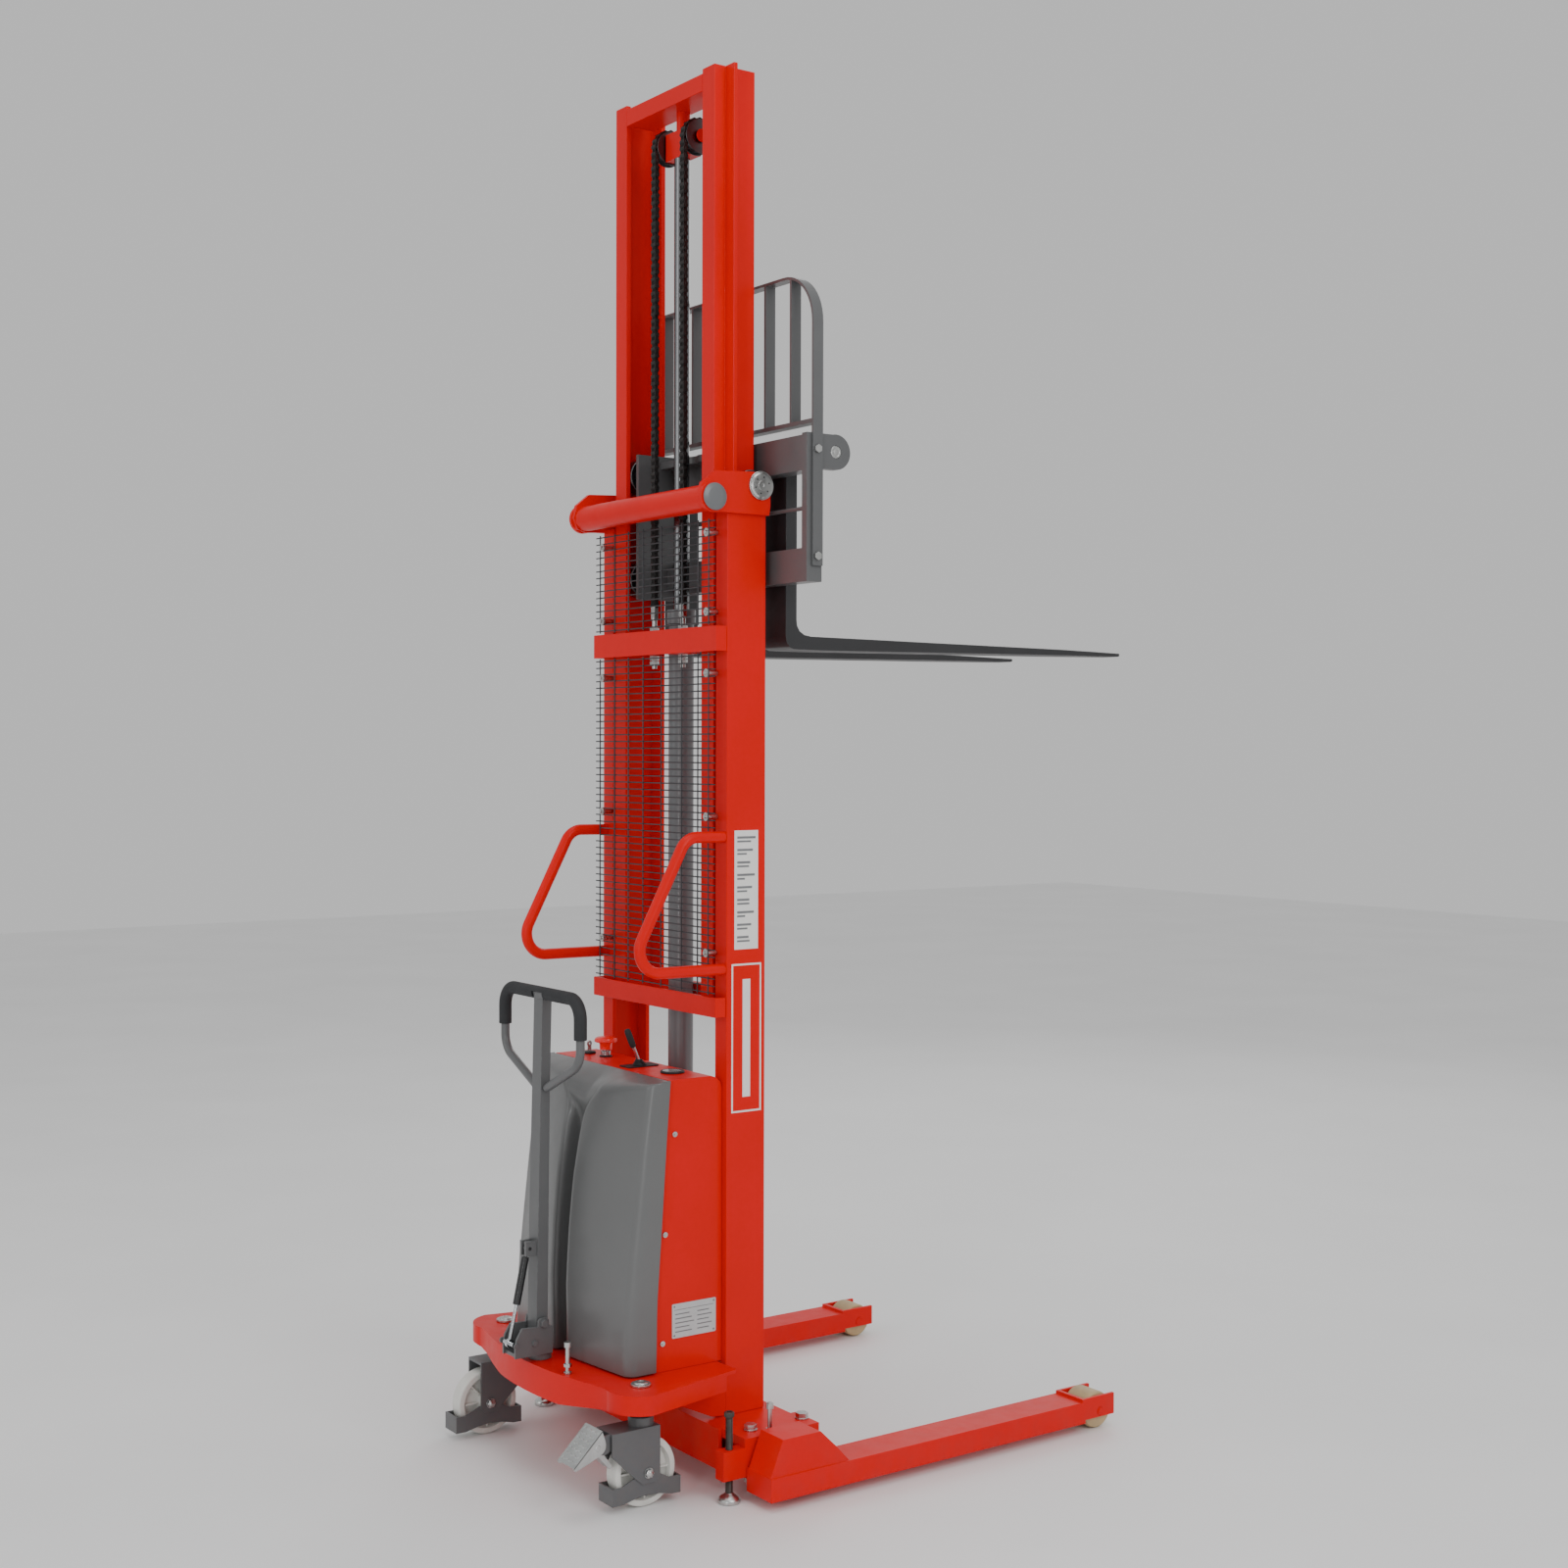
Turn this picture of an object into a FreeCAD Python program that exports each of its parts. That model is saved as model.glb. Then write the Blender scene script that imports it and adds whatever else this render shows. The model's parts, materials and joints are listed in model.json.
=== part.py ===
# Walkie straddle stacker: two-stage mast, straddle legs, tiller-steered casters.
# Frame: X to the operator's right, +Y forward along the forks, +Z up, millimetres.
# Lengths along Y below are measured from the rear face of the mast columns and moved by mast_y.
import FreeCAD, Part
import math
import os
import re
from FreeCAD import Vector, Placement, Rotation

doc = FreeCAD.newDocument("walkie_stacker")
sheet = doc.addObject("Spreadsheet::Sheet", "dims")

D = dict(
    mast_y=-394.5,          # shift that puts the origin under the middle of the machine
    outer_half=261.0, outer_depth=101.0, outer_web=10.0, outer_flange=11.0, outer_lip=45.0,
    foot_z=130.0, outer_top=2086.0,
    inner_in=159.0, inner_out=207.0, inner_depth=106.0, inner_web=10.0, inner_flange=12.0,
    inner_bottom=1010.0, inner_top=3055.0, fin_out=240.0, fin_rear=29.0, fin_front=39.0, fin_bottom=1112.0,
    bar_rear=-27.5, bar_half=259.0,
    cyl_y=50.0, cyl_radius=28.5, cyl_wall=5.0, cyl_top=1855.0, rod_radius=17.5, rod_bottom=1154.0,
    pulley_x=60.0, pulley_y=53.0, pulley_z=2939.0, pulley_flange_r=38.0, pulley_groove_r=31.0,
    chain_wide=20.0, chain_thick=12.0,
    roller_out_r=39.0, roller_in_r=40.5, roller_top_r=38.5,
    car_half=384.0, car_plate=18.0, car_rear=121.0, car_front=161.0,
    beam_top_lo=2170.0, beam_top_hi=2246.0, beam_low_lo=1932.0, beam_low_hi=2004.0,
    bar_y=199.0, bar_z=2213.0, bar_radius=14.0,
    side_plate_in=138.0, side_plate_out=148.0, side_lo=1918.0, side_hi=2252.0,
    fork_out=250.0, fork_wide=100.0,
    rest_out=390.5, rest_thick=6.0, rest_deep=26.0,
    deck_z=247.0, deck_plate=8.0,
    king_x=299.0, king_y=-238.0, boss_radius=75.0,
    caster_r=73.5, caster_w=40.0, trail_left=55.0,
    pack_half=245.0, pack_top=868.0, pack_skin=3.0,
    steer_y=-312.0, tilt_y=-319.0, tilt_z=329.0,
    leg_in=413.0, leg_out=504.0, leg_rear=-49.0, leg_low=21.0, leg_high=71.0, leg_tip=926.0,
    load_y=882.0, load_r=42.0, load_w=70.0,
    jack_x=397.0, jack_y=-82.0, jack_r=8.0,
)
for i, (k, v) in enumerate(D.items(), 1):
    sheet.set("A%d" % i, k)
    sheet.set("B%d" % i, repr(float(v)))
    sheet.setAlias("B%d" % i, k)
doc.recompute()

WORD = re.compile(r"[A-Za-z_][A-Za-z_0-9]*")
MY = D["mast_y"]


def ex(s):
    """A cell expression: names become dims.name."""
    return WORD.sub(lambda m: "dims." + m.group(0) if m.group(0) in D else m.group(0), str(s))


def bind(o, prop, v):
    o.setExpression(prop, ex(v))


count = [0]


def uid(kind):
    count[0] += 1
    return "%s_%03d" % (kind, count[0])


def box(x0, x1, y0, y1, z0, z1):
    o = doc.addObject("Part::Box", uid("box"))
    bind(o, "Length", "(%s)-(%s)" % (x1, x0))
    bind(o, "Width", "(%s)-(%s)" % (y1, y0))
    bind(o, "Height", "(%s)-(%s)" % (z1, z0))
    bind(o, "Placement.Base.x", x0)
    bind(o, "Placement.Base.y", "mast_y+(%s)" % y0)
    bind(o, "Placement.Base.z", z0)
    return o


ROT = {"z": Rotation(), "x": Rotation(Vector(0, 1, 0), 90), "y": Rotation(Vector(1, 0, 0), -90)}


def cyl(axis, r, length, x, y, z, cone_r=None):
    """A cylinder that starts at (x, y, z) and runs along +axis."""
    if cone_r is None:
        o = doc.addObject("Part::Cylinder", uid("cyl"))
        bind(o, "Radius", r)
    else:
        o = doc.addObject("Part::Cone", uid("cone"))
        bind(o, "Radius1", r)
        bind(o, "Radius2", cone_r)
    bind(o, "Height", length)
    o.Placement = Placement(Vector(0, 0, 0), ROT[axis])
    bind(o, "Placement.Base.x", x)
    bind(o, "Placement.Base.y", "mast_y+(%s)" % y)
    bind(o, "Placement.Base.z", z)
    return o


def hexa(axis, across, length, x, y, z):
    o = doc.addObject("Part::Prism", uid("hex"))
    o.Polygon = 6
    bind(o, "Circumradius", "(%s)/1.7320508" % across)
    bind(o, "Height", length)
    o.Placement = Placement(Vector(0, 0, 0), ROT[axis])
    bind(o, "Placement.Base.x", x)
    bind(o, "Placement.Base.y", "mast_y+(%s)" % y)
    bind(o, "Placement.Base.z", z)
    return o


def fuse(*objs):
    if len(objs) == 1:
        return objs[0]
    o = doc.addObject("Part::MultiFuse", uid("fuse"))
    o.Shapes = list(objs)
    o.Refine = True
    return o


def cut(base, *tools):
    o = doc.addObject("Part::Cut", uid("cut"))
    o.Base = base
    o.Tool = fuse(*tools)
    o.Refine = True
    return o


def group(*objs):
    """Several separate solids in one node."""
    if len(objs) == 1:
        return objs[0]
    o = doc.addObject("Part::Compound", uid("grp"))
    o.Links = list(objs)
    return o


def mirror_x(obj):
    o = doc.addObject("Part::Mirroring", uid("mir"))
    o.Source = obj
    o.Normal = Vector(1, 0, 0)
    o.Base = Vector(0, 0, 0)
    return o


def raw(shape):
    """A shape made with Part's own functions, in mast coordinates."""
    o = doc.addObject("Part::Feature", uid("raw"))
    o.Shape = shape
    o.Placement = Placement(Vector(0, MY, 0), Rotation()).multiply(shape.Placement)
    return o


def prism(points, axis, lo, hi):
    """A PartDesign body: a closed polygon padded along an axis from lo to hi.
    Points are (x, y) for z, (y, z) for x and (x, z) for y."""
    body = doc.addObject("PartDesign::Body", uid("body"))
    sk = body.newObject("Sketcher::SketchObject", uid("sketch"))
    role = {"z": "XY_Plane", "x": "YZ_Plane", "y": "XZ_Plane"}[axis]
    plane = [f for f in body.Origin.OriginFeatures if f.Role == role][0]
    sk.AttachmentSupport = [(plane, "")]
    sk.MapMode = "FlatFace"
    n = len(points)
    for i in range(n):
        a, b = points[i], points[(i + 1) % n]
        sk.addGeometry(Part.LineSegment(Vector(a[0], a[1], 0), Vector(b[0], b[1], 0)), False)
    import Sketcher
    for i in range(n):
        sk.addConstraint(Sketcher.Constraint("Coincident", i, 2, (i + 1) % n, 1))
    pad = body.newObject("PartDesign::Pad", uid("pad"))
    pad.Profile = sk
    bind(pad, "Length", "(%s)-(%s)" % (hi, lo))
    if axis == "y":
        pad.Reversed = True
    body.Tip = pad
    if axis == "z":
        bind(body, "Placement.Base.y", "mast_y")
        bind(body, "Placement.Base.z", lo)
    elif axis == "x":
        bind(body, "Placement.Base.x", lo)
        bind(body, "Placement.Base.y", "mast_y")
    else:
        bind(body, "Placement.Base.y", "mast_y+(%s)" % lo)
    return body


def revolve_x(points, x, y, z):
    """A PartDesign body: a profile of (x, radius) turned about an axis along X through (x, y, z)."""
    body = doc.addObject("PartDesign::Body", uid("body"))
    sk = body.newObject("Sketcher::SketchObject", uid("sketch"))
    plane = [f for f in body.Origin.OriginFeatures if f.Role == "XY_Plane"][0]
    sk.AttachmentSupport = [(plane, "")]
    sk.MapMode = "FlatFace"
    n = len(points)
    for i in range(n):
        a, b = points[i], points[(i + 1) % n]
        sk.addGeometry(Part.LineSegment(Vector(a[0], a[1], 0), Vector(b[0], b[1], 0)), False)
    rev = body.newObject("PartDesign::Revolution", uid("rev"))
    rev.Profile = sk
    rev.ReferenceAxis = (sk, ["H_Axis"])
    rev.Angle = 360.0
    body.Tip = rev
    bind(body, "Placement.Base.x", x)
    bind(body, "Placement.Base.y", "mast_y+(%s)" % y)
    bind(body, "Placement.Base.z", z)
    return body


def tube_path(points, radius, bends):
    """A round bar along straight runs joined by tangent arcs. bends are radii at the inner corners."""
    pts = [Vector(*p) for p in points]
    edges = []
    start = pts[0]
    for i in range(1, len(pts) - 1):
        p, a, b = pts[i], pts[i - 1], pts[i + 1]
        u = (a - p).normalize()
        w = (b - p).normalize()
        half = math.acos(max(-1.0, min(1.0, u.dot(w)))) / 2.0
        d = bends[i - 1] / math.tan(half)
        t1, t2 = p + u * d, p + w * d
        mid_dir = (u + w).normalize()
        centre = p + mid_dir * (bends[i - 1] / math.sin(half))
        m = centre - mid_dir * bends[i - 1]
        edges.append(Part.LineSegment(start, t1).toShape())
        edges.append(Part.Arc(t1, m, t2).toShape())
        start = t2
    edges.append(Part.LineSegment(start, pts[-1]).toShape())
    path = Part.Wire(edges)
    circle = Part.Wire([Part.Circle(pts[0], (pts[1] - pts[0]).normalize(), radius).toShape()])
    return path.makePipeShell([circle], True, False)


def poly_wire(points):
    return Part.makePolygon([Vector(*p) for p in points] + [Vector(*points[0])])


nodes = {}


def node(name, obj):
    obj.Label = name
    nodes[name] = obj
    return obj


def both(fn):
    """fn(s) for the right side (s = 1) and its mirror."""
    r = fn()
    return r, mirror_x(r)


# ---------------------------------------------------------------- outer mast
ow, od, of_, ol, oh = D["outer_web"], D["outer_depth"], D["outer_flange"], D["outer_lip"], D["outer_half"]
column = prism([(oh, 0), (oh, od), (oh - ol, od), (oh - ol, od - of_), (oh - ow, od - of_), (oh - ow, of_),
                (oh - ol, of_), (oh - ol, 0)], "z", "foot_z", "outer_top")
node("outer_mast_columns", group(column, mirror_x(column)))

# top brackets: plates outside the columns that carry the rear tube and the top rollers
bracket = prism([(-70, 2085), (-48, 2078), (-20, 2080), (101, 2080), (104, 2100), (104, 2143), (92, 2166),
                 (57, 2172), (-39, 2167), (-72, 2140), (-80, 2110)], "x", 261.2, 273.2)
bracket = cut(bracket, cyl("x", 29.1, 40, 250, -48, 2110), cyl("x", 10.05, 40, 250, 78, 2143))
rim = cut(cyl("x", 33, 9, 273.2, -48, 2110), cyl("x", 29.1, 20, 270, -48, 2110))
bracket = fuse(bracket, rim)
tube = cut(cyl("x", 29, 568, -284, -48, 2110), cyl("x", 25, 600, -300, -48, 2110))
cap = fuse(cyl("x", 24.9, 6, 279, -48, 2110), cyl("x", 28.9, 2.5, 284.1, -48, 2110), cyl("x", 27, 3, 286.5, -48, 2110, cone_r=20))
node("mast_top_tube", group(tube, cap, mirror_x(cap)))
pin = fuse(cyl("x", 10, 56, 217, 78, 2143), cyl("x", 31, 4, 273.4, 78, 2143), cyl("x", 27, 3, 277.4, 78, 2143, cone_r=24))
node("mast_top_brackets", group(bracket, mirror_x(bracket), pin, mirror_x(pin)))

# top roller pair, on one axis across the mast
roller = revolve_x([(0, 10.06), (22, 10.06), (22, 36.5), (20, 38.5), (2, 38.5), (0, 36.5)], 217.6, 78, 2143)
node("top_guide_rollers", group(roller, mirror_x(roller)))

# chain anchor bar and lower bar across the rear of the columns
def rear_bar(z0, z1):
    return fuse(box("-bar_half", "bar_half", "bar_rear", "bar_rear+8", z0, z1),
                box("bar_half-8", "bar_half", "bar_rear+8", 0, z0, z1),
                box("-bar_half", "8-bar_half", "bar_rear+8", 0, z0, z1))
anchor_bar = fuse(rear_bar(1784, 1838), box(36, 110, -19.5, 28, 1826, 1838), box(-110, -36, -19.5, 28, 1826, 1838),
                  box(36, 110, -19.5, 28, 1784, 1796), box(-110, -36, -19.5, 28, 1784, 1796))
holes = [cyl("z", 6.2, 80, sx * D["pulley_x"], 16, 1770) for sx in (1, -1)]
node("mast_cross_bars", group(cut(anchor_bar, *holes), rear_bar(994, 1037)))

bolts = []
for sx in (1, -1):
    x = sx * D["pulley_x"]
    bolts.append(fuse(cyl("z", 6, 118, x, 16, 1755), hexa("z", 19, 10, x, 16, 1774), hexa("z", 19, 9, x, 16, 1763.5),
                      hexa("z", 19, 10, x, 16, 1838.1), box(x - 8, x + 8, 11, 21, 1868, 1896)))
anchor_bolts = bolts

# welded mesh guards: a grid of round-wire size, in two panels
def mesh_panel(z0, z1, pitch, notches):
    w = 3.0
    xs = [-230.0, -164.0, -103.0, -39.0, 38.0, 123.0, 188.0, 230.0]
    n = int(round((z1 - z0) / pitch))
    zs = [z0 + i * (z1 - z0) / n for i in range(n + 1)]
    outer_face = Part.Face(poly_wire([(xs[0] - w / 2, 0, z0 - w / 2), (xs[-1] + w / 2, 0, z0 - w / 2),
                                      (xs[-1] + w / 2, 0, z1 + w / 2), (xs[0] - w / 2, 0, z1 + w / 2)]))
    wires = [outer_face.OuterWire]
    for i in range(n):
        for j in range(len(xs) - 1):
            a, b = xs[j] + w / 2, xs[j + 1] - w / 2
            c, d = zs[i] + w / 2, zs[i + 1] - w / 2
            wires.append(poly_wire([(a, 0, c), (a, 0, d), (b, 0, d), (b, 0, c)]))
    face = Part.Face(wires)
    body = face.extrude(Vector(0, w, 0))
    ends = []
    for z in zs:
        if any(abs(z - k) < 18 for k in notches):
            continue
        ends.append(Part.makeBox(21, w, w, Vector(xs[0] - w / 2 - 21, 0, z - w / 2)))
        ends.append(Part.makeBox(21, w, w, Vector(xs[-1] + w / 2, 0, z - w / 2)))
    body = body.fuse(ends)
    body = body.removeSplitter()
    body.translate(Vector(0, -26.5, 0))
    return body


node("mesh_guards", group(raw(mesh_panel(1846.0, 2064.0, 15.6, [])), raw(mesh_panel(1046.0, 1776.0, 15.6, [1383.0, 1097.0]))))
clips = []
UP, LP = (2064.0 - 1846.0) / 14, (1776.0 - 1046.0) / 47
for z in (1846.0 + 12.5 * UP, 1846.0 + 1.5 * UP, 1046.0 + 44.5 * LP, 1046.0 + 24.5 * LP, 1046.0 + 5.5 * LP):
    for sx in (1, -1):
        x = sx * 221.0
        clips.append(fuse(cyl("y", 6, 23.2, x, -23.4, z), cyl("y", 9.5, 2.2, x, -28.8, z), cyl("y", 4.2, 4.5, x, -33.2, z), cyl("y", 1.9, 8, x, -29.5, z)))
# the clip's stud passes between two wires, so wires near it are cleared by its own small size
node("mesh_clips", group(*clips))

# grab handles: bent round tube at each side of the mast
handle = tube_path([(248, -0.2, 1383), (248, -95, 1384), (248, -243, 1098), (248, -0.2, 1097)], 12.5, [45, 50])
hr = raw(handle)
node("grab_handles", group(hr, mirror_x(hr)))

# ---------------------------------------------------------------- chassis
cross = cut(box(-325, 325, -60, 128, 41, 129.7), box(-330, 330, 9, 109, 50, 110), box(-330, 330, -52, 1, 49, 122))
node("chassis_crossmember", cross)
clamp = fuse(box(325.3, 412, -52, 140, 110.5, 130), box(325.3, 412, -20, 140, 29, 49.3), box(382, 412, -106, -19.9, 50, 111))
clamp = cut(clamp, cyl("z", 8.3, 120, 368, -8, 20), cyl("z", 8.3, 120, 368, 126, 20), cyl("z", "jack_r+0.05", 100, "jack_x", "jack_y", 40))
node("leg_clamps", group(clamp, mirror_x(clamp)))
cb = []
for sx in (1, -1):
    for y in (-8, 126):
        x = sx * 368
        cb.append(fuse(cyl("z", 8, 122, x, y, 19), cyl("z", 15, 3, x, y, 130.1), hexa("z", 24, 10, x, y, 133), hexa("z", 24, 9, x, y, 19.9)))
    cb.append(fuse(cyl("z", 5, 62, sx * 399, 20, 130.1), cyl("z", 8, 12, sx * 399, 20, 178), hexa("z", 16, 7, sx * 399, 20, 130.1)))


# half-moon deck plate with its skirt
def deck_outline(inset=0.0):
    kx, ky, R = D["king_x"], D["king_y"], D["boss_radius"] - inset
    pts = []
    pts.append((318 - inset, -12))
    for i in range(0, 15):
        a = math.radians(-12 - i * 6.6)
        pts.append((kx + R * math.cos(a), ky + R * math.sin(a)))
    yc = -350 + inset
    for x in (240, 195, 150, 100, 50, 0):
        pts.append((x, yc + 34.0 * (x / 240.0) ** 2))
    right = pts
    left = [(-x, y) for (x, y) in reversed(right[:-1])]
    return right + left


outline = deck_outline()
plate = Part.Face(poly_wire([(x, y, 0) for x, y in outline])).extrude(Vector(0, 0, D["deck_plate"]))
plate.translate(Vector(0, 0, D["deck_z"] - D["deck_plate"]))
inner = deck_outline(6.0)
ring = Part.Face(poly_wire([(x, y, 0) for x, y in outline])).extrude(Vector(0, 0, 58)).cut(
    Part.Face(poly_wire([(x, y + (4 if y > -20 else 0), 0) for x, y in inner])).extrude(Vector(0, 0, 58)))
ring.translate(Vector(0, 0, D["deck_z"] - D["deck_plate"] - 57.999))
low = Part.Face(poly_wire([(-420, 0, 170), (-420, 0, 206), (-300, 0, 206), (-130, 0, 183), (130, 0, 183), (300, 0, 206),
                           (420, 0, 206), (420, 0, 170)])).extrude(Vector(0, -420, 0))
ring = ring.cut(low)
ring = ring.cut(Part.makeBox(700, 30, 80, Vector(-350, -40, 170)))
deck = plate.fuse(ring)
for sx in (1, -1):
    deck = deck.cut(Part.makeCylinder(15.05, 60, Vector(sx * D["king_x"], D["king_y"], 215)))
    boss = Part.makeCylinder(28, 22, Vector(sx * D["king_x"], D["king_y"], 217.5)).cut(Part.makeCylinder(15.05, 60, Vector(sx * D["king_x"], D["king_y"], 215)))
    deck = deck.fuse(boss)
deck = deck.cut(Part.makeCylinder(18.05, 60, Vector(0, D["steer_y"], 200)))
hub = Part.makeCylinder(27, 22, Vector(0, D["steer_y"], 217.5)).cut(Part.makeCylinder(18.05, 60, Vector(0, D["steer_y"], 200)))
deck = deck.fuse(hub)
for sx in (1, -1):
    gx = 251.0 if sx > 0 else -261.0
    gus = Part.Face(poly_wire([(gx, -0.3, 239.2), (gx, -0.3, 131), (gx, -34, 134), (gx, -121, 175), (gx, -190, 190), (gx, -190, 239.2)])).extrude(Vector(10, 0, 0))
    deck = deck.fuse(gus)
# columns rise through the front edge of the plate
for sx in (1, -1):
    deck = deck.cut(Part.makeBox(50, 40, 200, Vector(214 if sx > 0 else -264, -0.3, 120)))
deck = deck.removeSplitter()
node("base_deck", raw(deck))
sb = fuse(cyl("z", 4.9, 62, 140, -322, 252), cyl("z", 8, 11, 140, -322, 304), hexa("z", 15, 7, 140, -322, 262), hexa("z", 15, 5, 140, -322, 247.2), cyl("z", 4.9, 10, 140, -322, 247.2))
node("frame_bolts", group(*(cb + [sb] + anchor_bolts)))

# ---------------------------------------------------------------- hydraulics
cylinder = cut(cyl("z", "cyl_radius", "cyl_top-foot_z-0.3", 0, "cyl_y", "foot_z+0.3"), cyl("z", "cyl_radius-cyl_wall", "cyl_top", 0, "cyl_y", "foot_z+14"))
gland = cut(fuse(cyl("z", 33, 32, 0, "cyl_y", "cyl_top+0.1"), cyl("z", "cyl_radius-cyl_wall-0.1", 40, 0, "cyl_y", "cyl_top-39")),
            cyl("z", "rod_radius+0.06", 100, 0, "cyl_y", "cyl_top-45"))
node("lift_cylinder", group(cylinder, gland))
node("piston_rod", fuse(cyl("z", "rod_radius", "2904-rod_bottom", 0, "cyl_y", "rod_bottom"), cyl("z", 23.2, 12, 0, "cyl_y", "rod_bottom")))

# power pack inside the housing
node("battery", fuse(box(-205, 25, -128, -20, 262, 470), box(-190, -150, -100, -50, 470, 485), box(-30, 10, -100, -50, 470, 485)))
pump = fuse(box(60, 225, -125, -25, 262, 420), box(95, 185, -118, -32, 420, 470), cyl("z", 46, 190, 140, -75, 470), cyl("z", 38, 8, 140, -75, 660))
node("hydraulic_power_unit", pump)


def pack_rear(z):
    """Rear edge of the housing's side panels at a height."""
    t = [(247, -171), (394, -169), (563, -157), (750, -145), (868, -136)]
    for (a, ya), (b, yb) in zip(t, t[1:]):
        if z <= b:
            return ya + (yb - ya) * (z - a) / (b - a)
    return -136.0


prof = [(pack_rear(247), 247.3), (pack_rear(394), 394), (pack_rear(563), 563), (pack_rear(750), 750), (-136, 868)]
front = [(-28, 868), (-14, 863), (-4, 853), (-0.6, 841), (-0.6, 247.3)]
outer = prism(prof + front, "x", "-pack_half", "pack_half")
skin = D["pack_skin"]
front_in = [(-29, 868 - skin), (-16, 863 - skin), (-7, 852), (-0.6 - skin, 840), (-0.6 - skin, 240)]
inner_p = prism([(-190, 240), (-190, 868 - skin)] + front_in, "x", "pack_skin-pack_half", "pack_half-pack_skin")
housing = cut(outer, inner_p, cyl("z", 12.2, 20, -127, -72, 855), cyl("z", 24.2, 20, 158, -72, 855), box(28, 44, -110, -50, 855, 880), cyl("z", 11.2, 20, -191, -78, 855))
node("power_pack_housing", housing)

# grey cover: a bulged shell with a shallow valley behind the tiller
def lobe(z):
    t = [(250, -272), (400, -272), (535, -263), (690, -236), (790, -204), (840, -180), (862, -158), (868, -141)]
    for (a, ya), (b, yb) in zip(t, t[1:]):
        if z <= b:
            return ya + (yb - ya) * (z - a) / (b - a)
    return -141.0


def cover_section(z, off):
    e = pack_rear(z) - 0.4
    yl = lobe(z) + off
    d = (e - yl)
    hx = 253.0 - off
    pts = []
    right = [(hx, e + (30 if off else 0)), (hx, e - 0.45 * d), (hx - 4, e - 0.62 * d), (hx - 14, e - 0.74 * d), (hx - 32, e - 0.84 * d), (190, e - 0.91 * d),
             (140, e - 0.98 * d), (95, e - 1.0 * d), (60, e - 0.985 * d), (32, e - 0.925 * d), (12, e - 0.87 * d)]
    left = [(-x, y) for x, y in reversed(right)]
    return [Vector(x, y, z) for x, y in right + left]


levels = [252.0, 400.0, 535.0, 690.0, 790.0, 840.0, 862.0, 867.6]


def cover_solid(off, top_drop):
    ws = []
    for z in levels:
        zz = z
        if off and z == levels[0]:
            zz = z - 4
        p = [Vector(v.x, v.y, zz) for v in cover_section(z, off)]
        if off and z == levels[-1]:
            p = [Vector(v.x, v.y, z - top_drop) for v in cover_section(z - 2, off)]
            ws[-1] = Part.makePolygon([Vector(v.x, v.y, 858.0) for v in cover_section(858.0, off)] + [Vector(cover_section(858.0, off)[0].x, cover_section(858.0, off)[0].y, 858.0)])
        ws.append(Part.makePolygon(p + [p[0]]))
    return Part.makeLoft(ws, True, True)


cover = cover_solid(0.0, 0).cut(cover_solid(5.0, 4.5))
node("front_cover", raw(cover))
scr = []
for (y, z) in ((-122, 752), (-146, 540), (-152, 308)):
    scr.append(fuse(cyl("x", 2.9, 6, 245.1, y, z), cyl("x", 6, 3.2, 245.1, y, z)))
scr = group(*scr)
node("cover_screws", group(scr, mirror_x(scr)))
node("name_plate", box(245.1, 246.1, -128, -16, 314, 388))

# controls on the housing's top panel
es_base = (cut(fuse(cyl("z", 12, 22, -127, -72, 862), cyl("z", 17, 4, -127, -72, 868.2)), cyl("z", 7.05, 60, -127, -72, 850)))
node("e_stop_button", fuse(cyl("z", 7, 30, -127, -72, 866), cyl("z", 12.5, 12, -127, -72, 890), cyl("z", 25, 12, -127, -72, 902)))
gauge = (fuse(cyl("z", 24, 30, 158, -72, 846), cyl("z", 26, 4, 158, -72, 868.2)))
key_base = (cut(fuse(cyl("z", 11, 24, -191, -78, 850), cyl("z", 14, 5, -191, -78, 868.2)), cyl("z", 4.05, 12, -191, -78, 863)))
node("switch_key", fuse(cyl("z", 4, 10, -191, -78, 864), box(-192.5, -189.5, -84, -72, 874, 884), cyl("x", 11, 3, -192.5, -78, 893)))
lever_axis = (36.0, -80.0, 852.0)
lev = tube_path([(36, -80, 852), (36, -84, 880), (36, -112, 946)], 4.0, [30])
node("lift_lever", raw(lev.fuse(Part.makeCylinder(7.5, 44, Vector(36, -97.5, 912), Vector(0, -28, 66).normalize())).fuse(
    Part.makeCylinder(9, 10, Vector(31, -80, 852), Vector(1, 0, 0))).fuse(Part.makeCylinder(3, 23.4, Vector(24.3, -80, 852), Vector(1, 0, 0)))))
lever_base = cut(fuse(box(24, 48, -92, -68, 838, 864.8), box(14, 58, -120, -44, 868.1, 870.1)),
                 box(30.6, 41.4, -95, -65, 842, 866), box(28, 44, -116, -48, 867, 871), cyl("x", 3.05, 60, 10, -80, 852))
node("panel_fittings", group(es_base, gauge, key_base, lever_base))

# ---------------------------------------------------------------- inner mast
iw, idp, ifl = D["inner_web"], D["inner_depth"], D["inner_flange"]
a, b = D["inner_in"], D["inner_out"]
ic = prism([(a, 0), (b, 0), (b, idp), (a, idp), (a, idp - ifl), (b - iw, idp - ifl), (b - iw, ifl), (a, ifl)], "z", "inner_bottom", "inner_top")
fin = box("inner_out", "fin_out", "fin_rear", "fin_front", "fin_bottom", "inner_top")
ic = fuse(ic, fin, cyl("x", 10, 42, 206.5, 50.5, 1060))
node("inner_mast_columns", group(ic, mirror_x(ic)))
top_bar = (fuse(cut(box("-inner_in", "inner_in", 0, 73, 3007, 3045), box("5-inner_in", "inner_in-5", 5, 68, 3012, 3060)), cyl("z", 15.5, 42.2, 0, "cyl_y+3", 2965)))
node("inner_crossbars", group(top_bar, box("-inner_in", "inner_in", 82, 106, 1010, 1040)))
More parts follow.
